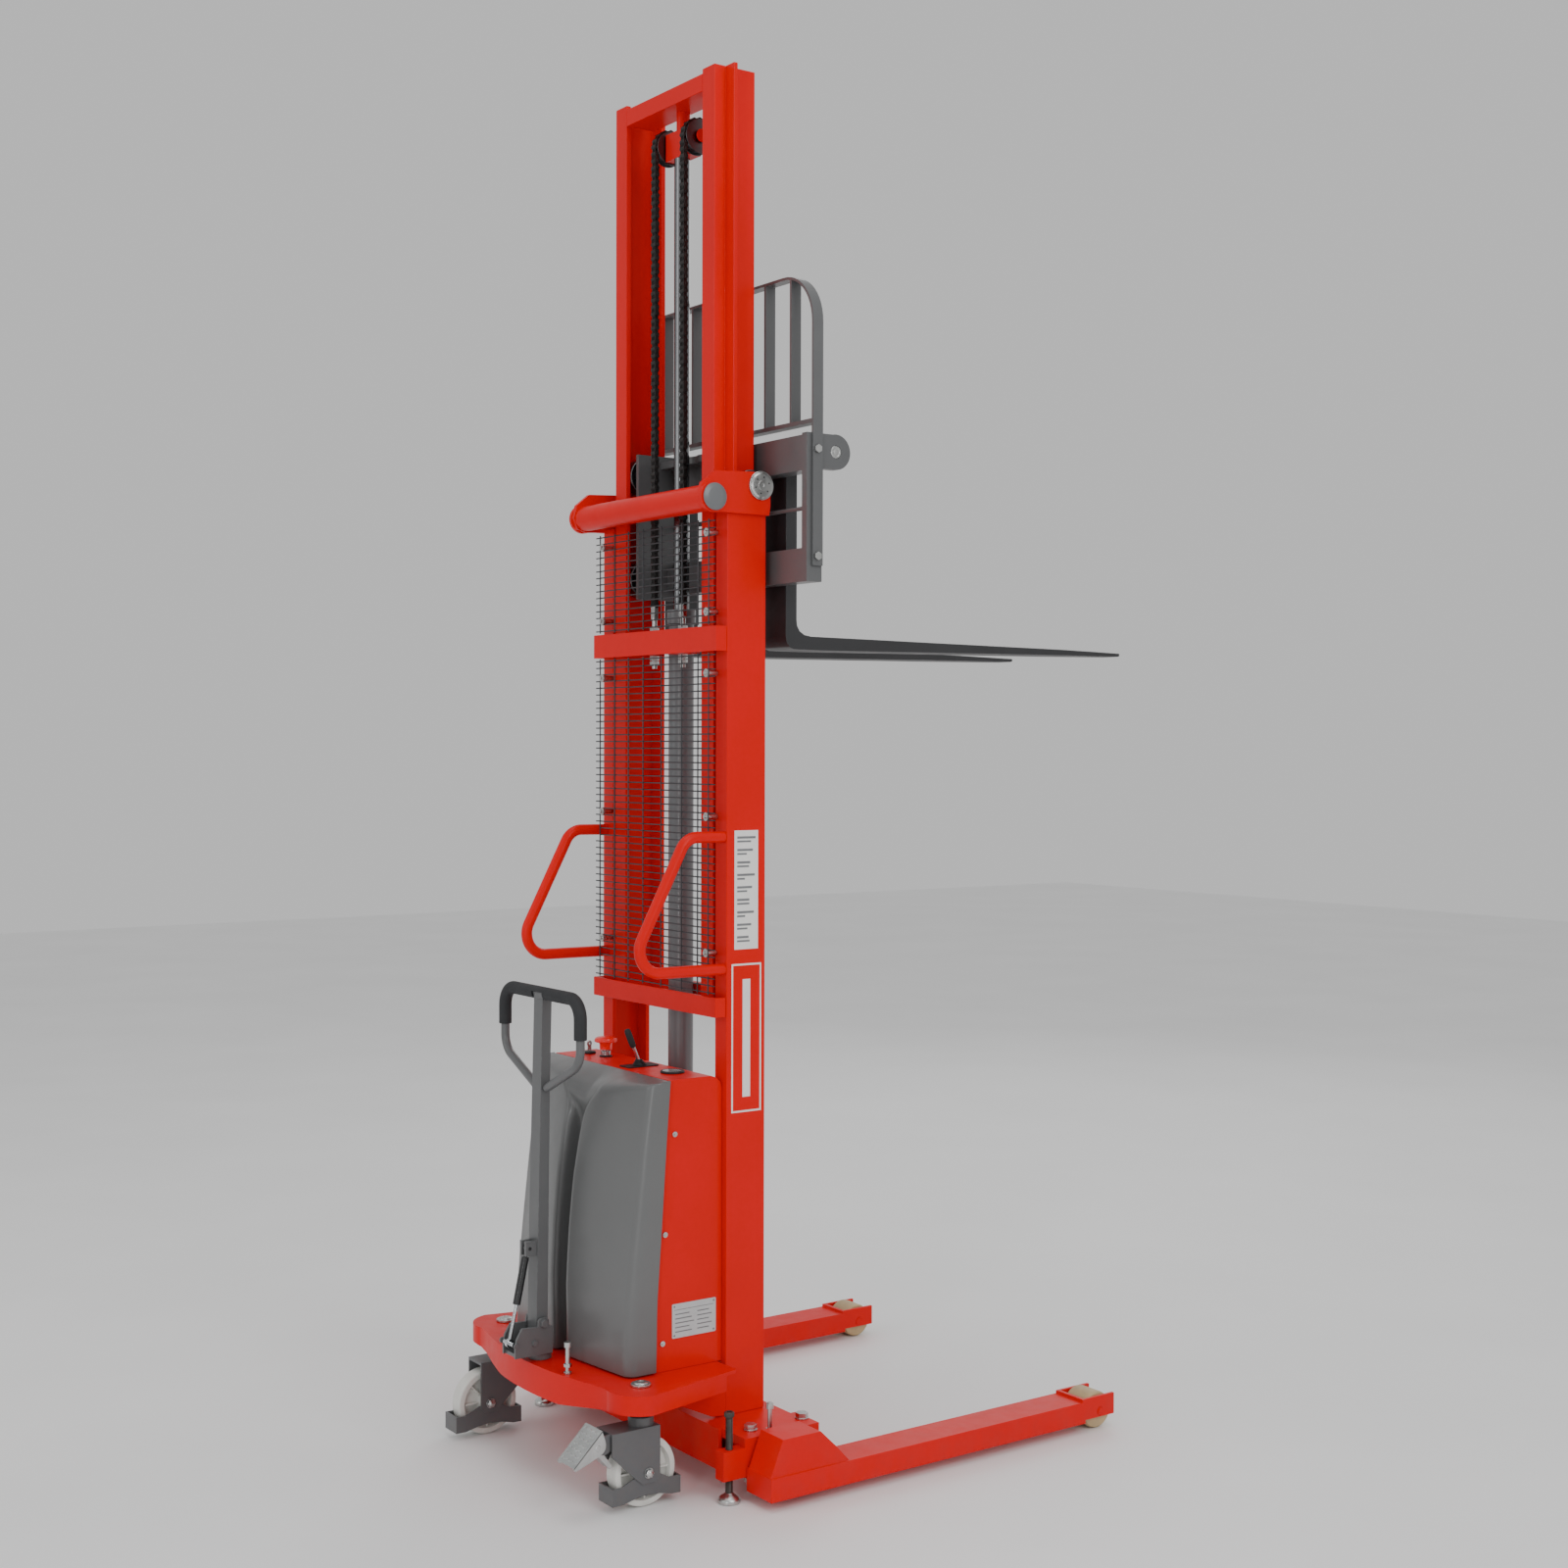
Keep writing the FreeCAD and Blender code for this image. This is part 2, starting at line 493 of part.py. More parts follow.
yoke = cut(box(-44, 44, 34, 72, 2904.2, 2965), cyl("x", 10.05, 100, -50, "pulley_y", "pulley_z"))
node("pulley_yoke", group(yoke, cyl("x", 10, 152, -76, "pulley_y", "pulley_z"), cyl("x", 15, 4, 76.1, "pulley_y", "pulley_z"), cyl("x", 15, 4, -80.1, "pulley_y", "pulley_z")))
pul = revolve_x([(0, 10.06), (24, 10.06), (24, 38), (22, 38), (22, 31), (2, 31), (2, 38), (0, 38)], "pulley_x-12", "pulley_y", "pulley_z")
node("chain_pulleys", group(pul, mirror_x(pul)))
lr = revolve_x([(0, 10.06), (31, 10.06), (31, 37), (29, 39), (2, 39), (0, 37)], 217.5, 50.5, 1060)
node("mast_guide_rollers", group(lr, mirror_x(lr)))

# ---------------------------------------------------------------- lift chains
# run from the anchor up to the pulley, the turn over the pulley, and the run down to the carriage
cx, cw, ct = D["pulley_x"], D["chain_wide"] / 2, D["chain_thick"] / 2
rear = box(cx - cw, cx + cw, 16 - ct, 16 + ct, 1896.2, "pulley_z")
node("lift_chain_rear", group(rear, mirror_x(rear)))
fr = box(cx - cw, cx + cw, 90 - ct, 90 + ct, 2290.2, "pulley_z")
node("lift_chain_front", group(fr, mirror_x(fr)))
wrap = cut(cyl("x", 43, 20, cx - cw, "pulley_y", "pulley_z"), cyl("x", 31.02, 30, cx - cw - 5, "pulley_y", "pulley_z"), box(cx - cw - 5, cx + cw + 5, 0, 110, 2880, "pulley_z+0.2"))
node("lift_chain_wrap", group(wrap, mirror_x(wrap)))

# ---------------------------------------------------------------- carriage
beam_u = cut(box("car_plate-car_half", "car_half-car_plate", "car_rear", "car_front", "beam_top_lo", "beam_top_hi"),
             box("car_plate-car_half-1", "car_half-car_plate+1", "car_rear+8", "car_front-8", "beam_top_lo+8", "beam_top_hi-8"))
beam_l = cut(box("car_plate-car_half", "car_half-car_plate", "car_rear", "car_front", "beam_low_lo", "beam_low_hi"),
             box("car_plate-car_half-1", "car_half-car_plate+1", "car_rear+8", "car_front-8", "beam_low_lo+8", "beam_low_hi-8"))
ep = fuse(box("car_half-car_plate", "car_half", "car_rear", "car_front", "beam_low_lo", 2250),
          cyl("x", 38, "car_plate", "car_half-car_plate", "bar_y", "bar_z"), box("car_half-car_plate", "car_half", 150, "bar_y", "bar_z-38", 2250))
ep = cut(ep, cyl("x", "bar_radius+0.05", 60, 350, "bar_y", "bar_z"), cyl("x", 5.1, 60, 350, 143.5, 2215), cyl("x", 5.1, 60, 350, 143.5, 1986))
node("carriage_rods", group(cyl("x", "bar_radius", "2*car_half-2", "1-car_half", "bar_y", "bar_z"), cyl("x", 4.5, "2*(car_half-car_plate)-0.4", "car_plate-car_half+0.2", 127, 2089)))
sp = fuse(box("side_plate_in", "side_plate_out", 20, "car_rear+0.5", "side_lo", "side_hi"), cyl("x", 10, 46, 147.5, 53, 2205), cyl("x", 10, 46, 147.5, 53, 1965),
          cyl("x", 15, 8, 147.5, 53, 2205), cyl("x", 15, 8, 147.5, 53, 1965))
sp = cut(sp, box(100, 200, 118, 130, 2004.1, 2169.9))
ap = cut(fuse(box("-side_plate_in-1", "side_plate_in+1", 80.5, "car_rear+0.5", 2222, 2238), box("-side_plate_in-1", "side_plate_in+1", 100, "car_rear+0.5", 1945, 1990)),
         cyl("z", 5.6, 40, "pulley_x", 90, 2210), cyl("z", 5.6, 40, "-pulley_x", 90, 2210), cyl("z", 36, 60, 0, "cyl_y", 2200))
node("carriage_frame", fuse(beam_u, beam_l, ep, mirror_x(ep), sp, mirror_x(sp), ap))
cbs = []
for sx in (1, -1):
    x = sx * D["pulley_x"]
    cbs.append(fuse(cyl("z", 5, 70, x, 90, 2200), hexa("z", 17, 9, x, 90, 2212.8), hexa("z", 17, 9, x, 90, 2238.2), box(x - 8, x + 8, 85, 95, 2262, 2290)))

cr = revolve_x([(0, 10.06), (33, 10.06), (33, 38.5), (31, 40.5), (2, 40.5), (0, 38.5)], 160.5, 53, 2205)
node("carriage_rollers_upper", group(cr, mirror_x(cr)))
cr2 = revolve_x([(0, 10.06), (33, 10.06), (33, 38.5), (31, 40.5), (2, 40.5), (0, 38.5)], 160.5, 53, 1965)
node("carriage_rollers_lower", group(cr2, mirror_x(cr2)))

# load backrest: flat bar bent into a frame with upright bars
t, dp = D["rest_thick"], D["rest_deep"]
y0, y1 = 133.0, 133.0 + D["rest_deep"]
ro = D["rest_out"]


def arch(r_out, top):
    pts = [(ro - (0 if r_out == 110 else t), 1966)]
    for i in range(13):
        an = math.radians(i * 7.5)
        pts.append((ro - 110 + r_out * math.cos(an), top - 110 + r_out * math.sin(an)))
    return pts


topz = 2597.0
outp = arch(110, topz)
inp = arch(110 - t, topz)
half_o = outp + [(0, topz)]
half_i = inp + [(0, topz - t)]
ring_pts = outp + [(-x, z) for x, z in reversed(outp)] + [(-x, z) for x, z in inp] + list(reversed(inp))
rest = Part.Face(poly_wire([(x, y0, z) for x, z in ring_pts])).extrude(Vector(0, dp, 0))
rail = Part.makeBox(2 * (ro - t) + 0.02, dp, 9, Vector(-(ro - t) - 0.01, y0, 2271))
rest = rest.fuse(rail)
for x in (85, 209, 306):
    for sx in (1, -1):
        zt = topz - t + 0.01
        if x > ro - 110:
            zt = topz - 110 + math.sqrt((110 - t) ** 2 - (x + 3 - (ro - 110)) ** 2) + 0.4
        rest = rest.fuse(Part.makeBox(6, dp, zt - 2279.99, Vector(sx * x - 3, y0, 2279.99)))
for sx in (1, -1):
    for (yy, zz) in ((143.5, 2215), (143.5, 1986)):
        rest = rest.cut(Part.makeCylinder(5.1, 60, Vector(sx * 384 - 30, yy, zz), Vector(1, 0, 0)))
rest = rest.removeSplitter()
node("load_backrest", raw(rest))
bb = []
for (yy, zz) in ((143.5, 2215), (143.5, 1986)):
    bb.append(fuse(cyl("x", 5, 48, 350, yy, zz), hexa("x", 16, 7, 391, yy, zz), hexa("x", 16, 6, 359.8, yy, zz)))
bb = group(*bb)
node("carriage_bolts", group(bb, mirror_x(bb), *cbs))

# forks: hung on the bar by an eye, tapered to the tip
def fork(x0):
    pts = [(162.5, 2206), (162.5, 1822), (165, 1808), (173, 1798), (186, 1793.3), (268, 1792.8), (1198, 1805.2), (1206, 1806.5), (1206, 1813.5), (700, 1819.5),
           (232, 1823), (214, 1826), (201, 1834), (194, 1846), (192.5, 1858), (192.5, 2206)]
    f = Part.Face(poly_wire([(x0, y, z) for y, z in pts])).extrude(Vector(100, 0, 0))
    eye = Part.makeCylinder(29, 100, Vector(x0, D["bar_y"], D["bar_z"]), Vector(1, 0, 0))
    web = Part.makeBox(100, 44, 20, Vector(x0, 162.5, 2186))
    f = f.fuse([eye, web])
    # taper in plan at the tip
    for s in (0, 1):
        tri = Part.Face(poly_wire([(x0 + (100 if s else 0), 1000, 1780), (x0 + (100 if s else 0), 1210, 1780), (x0 + (74 if s else 26), 1210, 1780)])).extrude(Vector(0, 0, 60))
        f = f.cut(tri)
    f = f.cut(Part.makeCylinder(D["bar_radius"] + 0.08, 140, Vector(x0 - 20, D["bar_y"], D["bar_z"]), Vector(1, 0, 0)))
    return f.removeSplitter()


node("fork_right", raw(fork(150.0)))
node("fork_left", raw(fork(-250.0)))

# ---------------------------------------------------------------- straddle legs
def leg():
    low = cut(box("leg_in", "leg_out", "leg_rear", 836, "leg_low", "leg_high"), box("leg_in+6", "leg_out-6", "leg_rear+8", 828, "leg_low+6", "leg_high-6"))
    hump = prism([(-48, 70), (-17, 146), (80, 146), (128, 100), (156, 70)], "x", 419, 500)
    stub = cut(box(165, 430, 10, 108, 51, 109.4), box(160, 412, 18, 100, 59, 101))
    plates = [box("leg_in", "leg_in+8", 830, "leg_tip", 29, 78), box("leg_out-8", "leg_out", 830, "leg_tip", 29, 78), box("leg_in", "leg_out", 826, 836, 29, 78)]
    body = fuse(low, hump, stub, *plates)
    return cut(body, cyl("x", 10.0, 120, 400, "load_y", "load_r"))


lg = leg()
ax = fuse(cyl("x", 9.95, 91.4, 412.8, "load_y", "load_r"), cyl("x", 7, 1.4, 504.1, "load_y", "load_r"))
lg = group(lg, ax)
node("straddle_leg_right", lg)
node("straddle_leg_left", mirror_x(lg))
lw = revolve_x([(0, 10.02), (70, 10.02), (70, 39), (67, 42), (3, 42), (0, 39)], 423.5, "load_y", "load_r")
node("load_wheel_right", lw)
node("load_wheel_left", mirror_x(lw))

jk = fuse(cyl("z", "jack_r", 168, "jack_x", "jack_y", 14), cyl("z", 11, 10, "jack_x", "jack_y", 180), cyl("z", 24, 12, "jack_x", "jack_y", 0), cyl("z", 24, 9, "jack_x", "jack_y", 12, cone_r=9))
node("jack_screw_right", jk)
node("jack_screw_left", mirror_x(jk))

# ---------------------------------------------------------------- tiller
sy = D["steer_y"]
ears = Part.Face(poly_wire([(24, -388, 262), (24, -388, 286), (24, -384.5, 303), (24, -371, 325), (24, -333, 323), (24, -331, 336), (24, -326, 341), (24, -312, 341), (24, -307, 336), (24, -305, 321), (24, -297, 320),
                            (24, -297, 262)])).extrude(Vector(6, 0, 0))
ears2 = ears.mirror(Vector(0, 0, 0), Vector(1, 0, 0))
base = Part.makeBox(60, 86, 8, Vector(-30, -383, 262))
disc = Part.makeCylinder(25, 14.6, Vector(0, sy, 247.6))
shaft = Part.makeCylinder(18, 60, Vector(0, sy, 190))
turn = base.fuse([ears, ears2, disc, shaft])
turn = turn.cut(Part.makeCylinder(6.05, 100, Vector(-50, D["tilt_y"], D["tilt_z"]), Vector(1, 0, 0)))


def sprocket(x, y, root, teeth):
    d = Part.makeCylinder(root, 6, Vector(x, y, 198))
    for k in range(teeth):
        an = 2 * math.pi * k / teeth
        d = d.fuse(Part.makeCylinder(3, 4, Vector(x + root * math.cos(an), y + root * math.sin(an), 199)))
    return d


turn = turn.fuse(sprocket(0, sy, 22.5, 10)).removeSplitter()
hb = []
for sx in (1, -1):
    for (yy, zz) in ((-387, 290), (-341, 289)):
        hb.append(fuse(cyl("x", 6.5, 4, 30.1 if sx > 0 else -34.1, yy, zz)))
pivot_bolt = fuse(cyl("x", 6, 72, -36, "tilt_y", "tilt_z"), hexa("x", 16, 6, 30.1, "tilt_y", "tilt_z"), hexa("x", 16, 6, -36.1, "tilt_y", "tilt_z"))
node("steering_head", group(raw(turn), pivot_bolt, *hb))


def arm_sections(off=0.0):
    return [(340.0, 20.0, -332, -304.5), (575.0, 20.0, -327.5, -302), (850.0, 19.5, -321.5, -298.5), (1030.0, 19.0, -316.5, -294)]


def arm_loft(inset, z_low=None):
    ws = []
    for (z, hx, ya, yb) in arm_sections():
        zz = z
        if z_low is not None and z == 340.0:
            zz = z_low
        ya2 = ya + inset
        yb2 = yb - inset
        hx2 = hx - inset
        ws.append(poly_wire([(-hx2, ya2, zz), (hx2, ya2, zz), (hx2, yb2, zz), (-hx2, yb2, zz)]))
    return Part.makeLoft(ws, True, True)


arm = arm_loft(0.0, z_low=300.0)
arm = arm.cut(arm_loft(4.0, z_low=300.0))
lug = Part.makeBox(8, 26, 32, Vector(-14, -354, 475)).fuse(Part.makeBox(8, 26, 32, Vector(6, -354, 475)))
arm = arm.fuse(lug)
arm = arm.cut(Part.makeCylinder(6.05, 100, Vector(-50, D["tilt_y"], D["tilt_z"]), Vector(1, 0, 0)))
arm = arm.cut(Part.makeCylinder(4.05, 40, Vector(-20, -344, 491), Vector(1, 0, 0)))
node("tiller_arm", raw(arm.removeSplitter()))
loop = tube_path([(-23.5, -308, 838), (-168, -308, 905), (-168, -308, 1042), (168, -308, 1042), (168, -308, 905), (23.5, -308, 838)], 9.5, [50, 42, 42, 50])
armtop = Part.makeBox(39, 24, 12, Vector(-19.5, -317, 1030))
loop = loop.cut(arm_loft(0.0, z_low=300.0)).fuse(armtop)
node("tiller_handle", raw(loop.removeSplitter()))
gp = tube_path([(-168, -308, 958), (-168, -308, 1042), (168, -308, 1042), (168, -308, 958)], 14.0, [42, 42])
gpi = tube_path([(-168, -308, 950), (-168, -308, 1042), (168, -308, 1042), (168, -308, 950)], 9.55, [42, 42])
grip = gp.cut(gpi).cut(Part.makeBox(46, 60, 30, Vector(-23, -340, 1015)))
node("tiller_grip", raw(grip))

# gas spring from the arm down to the steering head
p_hi = Vector(0, -344.0, 491.0)
p_lo = Vector(0, -387.0, 290.0)
gd = (p_lo - p_hi).normalize()
gc = Part.makeCylinder(8.5, 102, p_hi + gd * 20, gd).cut(Part.makeCylinder(4.05, 120, p_hi + gd * 25, gd))
eye = Part.makeCylinder(8, 9, p_hi + Vector(-4.5, 0, 0), Vector(1, 0, 0)).fuse(Part.makeCylinder(4, 24, p_hi, gd)).fuse(Part.makeCylinder(4, 28, p_hi + Vector(-14, 0, 0), Vector(1, 0, 0)))
node("gas_spring_cylinder", raw(gc.fuse(eye).removeSplitter()))
ln = (p_lo - p_hi).Length
rod = Part.makeCylinder(4, ln - 8 - 97, p_hi + gd * 97, gd)
reye = Part.makeCylinder(9, 10, p_lo + Vector(-5, 0, 0), Vector(1, 0, 0)).fuse(Part.makeCylinder(4.5, 42, p_lo + Vector(-21, 0, 0), Vector(1, 0, 0)))
node("gas_spring_rod", raw(rod.fuse(reye).removeSplitter()))

# ---------------------------------------------------------------- casters
def caster(x, trail, brake):
    """Caster whose wheel axle lies trail behind the king pin."""
    ky = D["king_y"]
    ay = ky - trail
    r = D["caster_r"]
    ya, yb = (ky - 88, ky + 28) if brake else (ay - 24, ay + 91)
    top = Part.makeBox(64, yb - ya, 6, Vector(x - 32, ya, 163))
    s = []
    for sx in (1, -1):
        xx = x + 28.2 if sx > 0 else x - 32
        if brake:
            pts = [(ya, 169), (yb, 169), (yb, 64), (ky + 18, 52), (ky - 14, 52), (ky - 34, 69), (ya, 122)]
        else:
            pts = [(ya, 169), (yb, 169), (yb, 122), (ay + 34, 70), (ay + 18, 52), (ay - 12, 52), (ya, 64)]
        side = Part.Face(poly_wire([(xx, yy, zz) for yy, zz in pts])).extrude(Vector(3.8, 0, 0))
        s.append(side)
    pin = Part.makeCylinder(15, 82, Vector(x, ky, 165))
    head = Part.makeCylinder(20, 5, Vector(x, ky, 247.6))
    race = Part.makeCylinder(27, 18, Vector(x, ky, 169))
    fk_ = top.fuse(s + [pin, race])
    fk_ = fk_.cut(Part.makeCylinder(6.05, 120, Vector(x - 60, ay, r), Vector(1, 0, 0)))
    if brake:
        ear = Part.Face(poly_wire([(x + 20, ky - 132, 138), (x + 20, ky - 132, 152), (x + 20, ky - 124, 160), (x + 20, ky - 110, 166), (x + 20, ky - 84, 169), (x + 20, ky - 84, 136), (x + 20, ky - 100, 128),
                                  (x + 20, ky - 124, 132)])).extrude(Vector(5, 0, 0))
        fk_ = fk_.fuse([ear, ear.translated(Vector(-45, 0, 0)), Part.makeBox(50, 4, 33, Vector(x - 25, ky - 88, 136))])
        fk_ = fk_.cut(Part.makeCylinder(4.05, 80, Vector(x - 40, ky - 122, 148), Vector(1, 0, 0)))
    king = head.fuse(Part.makeCylinder(14, 3, Vector(x, ky, 252)))
    prof = [(-85, 17), (-85, 54), (-62, 54), (-34, 66), (-16, 72), (-12, 84), (12, 84), (16, 72), (34, 64), (52, 54), (81, 53), (81, 16), (60, 17), (30, 24), (0, 27), (-30, 24), (-60, 17)]
    guard = Part.Face(poly_wire([(x - 28, ay + yy, zz) for yy, zz in prof])).extrude(Vector(56, 0, 0))
    guard = guard.cut(Part.makeBox(49.2, 158, 100, Vector(x - 24.6, ay - 81, 0)))
    guard = guard.cut(Part.makeCylinder(6.05, 120, Vector(x - 60, ay, r), Vector(1, 0, 0)))
    axle = Part.makeCylinder(6, 72, Vector(x - 36, ay, r), Vector(1, 0, 0))
    for x1 in (x + 32.1, x - 38.1):
        axle = axle.fuse(Part.makeCylinder(9.5, 6, Vector(x1, ay, r), Vector(1, 0, 0)))
    return fk_, king, guard, axle


KX = D["king_x"]
for name, x, trail, brake in (("right", KX, 0.0, True), ("left", -KX, D["trail_left"], False)):
    f_, k_, g_, a_ = caster(x, trail, brake)
    f_ = f_.fuse(sprocket(x, D["king_y"], 35.0, 16))
    node("caster_fork_" + name, group(raw(f_.removeSplitter()), raw(k_.removeSplitter()), raw(a_.removeSplitter())))
    node("toe_guard_" + name, raw(g_.removeSplitter()))
    w = revolve_x([(0, 22), (0, 6.06), (46, 6.06), (46, 22), (32, 24), (32, 56), (43, 60), (43, 68), (38, 73.5), (8, 73.5), (3, 68), (3, 60), (14, 56), (14, 24)], x - 23, D["king_y"] - trail, "caster_r")
    node("caster_wheel_" + name, w)

# brake pedal on the right caster
kx, ky = KX, D["king_y"]
ped_pts = [(ky - 112, 183), (ky - 179, 118), (ky - 176.8, 115.7), (ky - 109.8, 180.7)]
ped = Part.Face(poly_wire([(kx - 33, yy, zz) for yy, zz in ped_pts])).extrude(Vector(66, 0, 0))
for sx in (1, -1):
    xx = kx + 29.6 if sx > 0 else kx - 33
    ped = ped.fuse(Part.Face(poly_wire([(xx, ky - 112, 183), (xx, ky - 179, 118), (xx, ky - 174, 112), (xx, ky - 125, 129), (xx, ky - 106, 140), (xx, ky - 104, 160)])).extrude(Vector(3.4, 0, 0)))
ped = ped.fuse(Part.makeCylinder(4, 62, Vector(kx - 31, ky - 122, 148), Vector(1, 0, 0)))
ped = ped.fuse(Part.Face(poly_wire([(kx - 16, ky - 122, 154), (kx - 16, ky - 113, 148), (kx - 16, ky - 84, 106), (kx - 16, ky - 78, 98), (kx - 16, ky - 85, 94), (kx - 16, ky - 128, 142)])).extrude(Vector(32, 0, 0)))
node("brake_pedal", raw(ped.removeSplitter()))

# steering chain: one loop round the three sprockets under the deck
def hull_of_circles(circles, extra):
    pts = []
    for (x, y, r) in circles:
        for k in range(48):
            an = 2 * math.pi * k / 48
            pts.append((x + (r + extra) * math.cos(an), y + (r + extra) * math.sin(an)))
    pts.sort()

    def turn3(o, a, b):
        return (a[0] - o[0]) * (b[1] - o[1]) - (a[1] - o[1]) * (b[0] - o[0])
    out = []
    for seq in (pts, list(reversed(pts))):
        part_ = []
        for p in seq:
            while len(part_) > 1 and turn3(part_[-2], part_[-1], p) <= 1e-6:
                part_.pop()
            part_.append(p)
        out += part_[:-1]
    return out


rings = [(0, D["steer_y"], 26.2), (KX, D["king_y"], 38.8), (-KX, D["king_y"], 38.8)]
big = Part.Face(poly_wire([(x, y, 197) for x, y in hull_of_circles(rings, 5.0)])).extrude(Vector(0, 0, 8))
small = Part.Face(poly_wire([(x, y, 190) for x, y in hull_of_circles(rings, 0.0)])).extrude(Vector(0, 0, 20))
node("steering_chain", raw(big.cut(small)))

doc.recompute()

# ---------------------------------------------------------------- checks and export
bad = []
for o in doc.Objects:
    if "Invalid" in o.State or "Error" in o.State:
        bad.append((o.Name, o.State))
for name, o in nodes.items():
    s = o.Shape
    if s.isNull() or not s.isValid() or not s.Solids:
        bad.append((name, "shape"))
if bad:
    raise SystemExit("failed objects: %s" % bad)
os.makedirs("parts", exist_ok=True)
total = None
for name, o in sorted(nodes.items()):
    o.Shape.exportStep(os.path.join("parts", name + ".step"))
    bb_ = o.Shape.BoundBox
    total = bb_ if total is None else total.united(bb_)
    print("%-26s solids %d vol %9.1f cm3  x %.0f..%.0f y %.0f..%.0f z %.0f..%.0f" % (
        name, len(o.Shape.Solids), o.Shape.Volume / 1000.0, bb_.XMin, bb_.XMax, bb_.YMin, bb_.YMax, bb_.ZMin, bb_.ZMax))
print("nodes", len(nodes), "box", total)
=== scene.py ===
import bpy
import bmesh
import json
import math
import random
import numpy as np
from mathutils import Vector, Matrix


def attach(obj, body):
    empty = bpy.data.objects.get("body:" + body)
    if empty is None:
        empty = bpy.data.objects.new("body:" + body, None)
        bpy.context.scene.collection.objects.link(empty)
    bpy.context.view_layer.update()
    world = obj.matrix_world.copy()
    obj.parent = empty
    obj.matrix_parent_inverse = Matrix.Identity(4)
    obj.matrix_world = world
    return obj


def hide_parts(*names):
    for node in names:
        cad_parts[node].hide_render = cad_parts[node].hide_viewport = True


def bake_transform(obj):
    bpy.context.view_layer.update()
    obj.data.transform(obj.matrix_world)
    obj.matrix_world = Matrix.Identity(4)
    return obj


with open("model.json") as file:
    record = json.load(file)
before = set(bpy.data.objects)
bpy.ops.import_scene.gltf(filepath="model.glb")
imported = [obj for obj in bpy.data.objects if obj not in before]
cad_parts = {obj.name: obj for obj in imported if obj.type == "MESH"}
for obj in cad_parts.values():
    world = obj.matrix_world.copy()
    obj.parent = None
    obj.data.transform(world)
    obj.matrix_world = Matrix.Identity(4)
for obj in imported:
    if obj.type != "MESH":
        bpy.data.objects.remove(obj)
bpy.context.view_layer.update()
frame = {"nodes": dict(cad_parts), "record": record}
NODES = frame["nodes"]
MY = -394.5


def P(x, y, z):
    return Vector((x / 1000.0, (y + MY) / 1000.0, z / 1000.0))


# ------------------------------------------------------------------ materials
def new_mat(name):
    m = bpy.data.materials.new(name)
    m.use_nodes = True
    nt = m.node_tree
    return m, nt, nt.nodes["Principled BSDF"]


def nd(nt, kind, **kw):
    n = nt.nodes.new(kind)
    for k, v in kw.items():
        setattr(n, k, v)
    return n


def coord(nt, scale=(1, 1, 1)):
    tc = nd(nt, "ShaderNodeTexCoord")
    mp = nd(nt, "ShaderNodeMapping")
    mp.inputs["Scale"].default_value = scale
    nt.links.new(tc.outputs["Object"], mp.inputs["Vector"])
    return mp.outputs["Vector"]


def noise(nt, vec, scale, detail=3.0, rough=0.5):
    n = nd(nt, "ShaderNodeTexNoise")
    n.inputs["Scale"].default_value = scale
    n.inputs["Detail"].default_value = detail
    n.inputs["Roughness"].default_value = rough
    nt.links.new(vec, n.inputs["Vector"])
    return n.outputs["Fac"]


def ramp(nt, fac, stops):
    r = nd(nt, "ShaderNodeValToRGB")
    el = r.color_ramp.elements
    while len(el) < len(stops):
        el.new(0.5)
    for e, (pos, col) in zip(el, stops):
        e.position = pos
        e.color = (col[0], col[1], col[2], 1.0) if not isinstance(col, float) else (col, col, col, 1.0)
    nt.links.new(fac, r.inputs["Fac"])
    return r.outputs["Color"]


def hx(s):
    def lin(c):
        c = c / 255.0
        return c / 12.92 if c <= 0.04045 else ((c + 0.055) / 1.055) ** 2.4
    return tuple(lin(int(s[i:i + 2], 16)) for i in (1, 3, 5))


def scaled(c, k):
    return tuple(max(0.0, min(1.0, v * k)) for v in c)


def mixc(nt, fac, a, b):
    m = nd(nt, "ShaderNodeMix", data_type="RGBA")
    nt.links.new(fac, m.inputs[0])
    for sock, v in ((m.inputs[6], a), (m.inputs[7], b)):
        if isinstance(v, tuple):
            sock.default_value = (v[0], v[1], v[2], 1.0)
        else:
            nt.links.new(v, sock)
    return m.outputs[2]


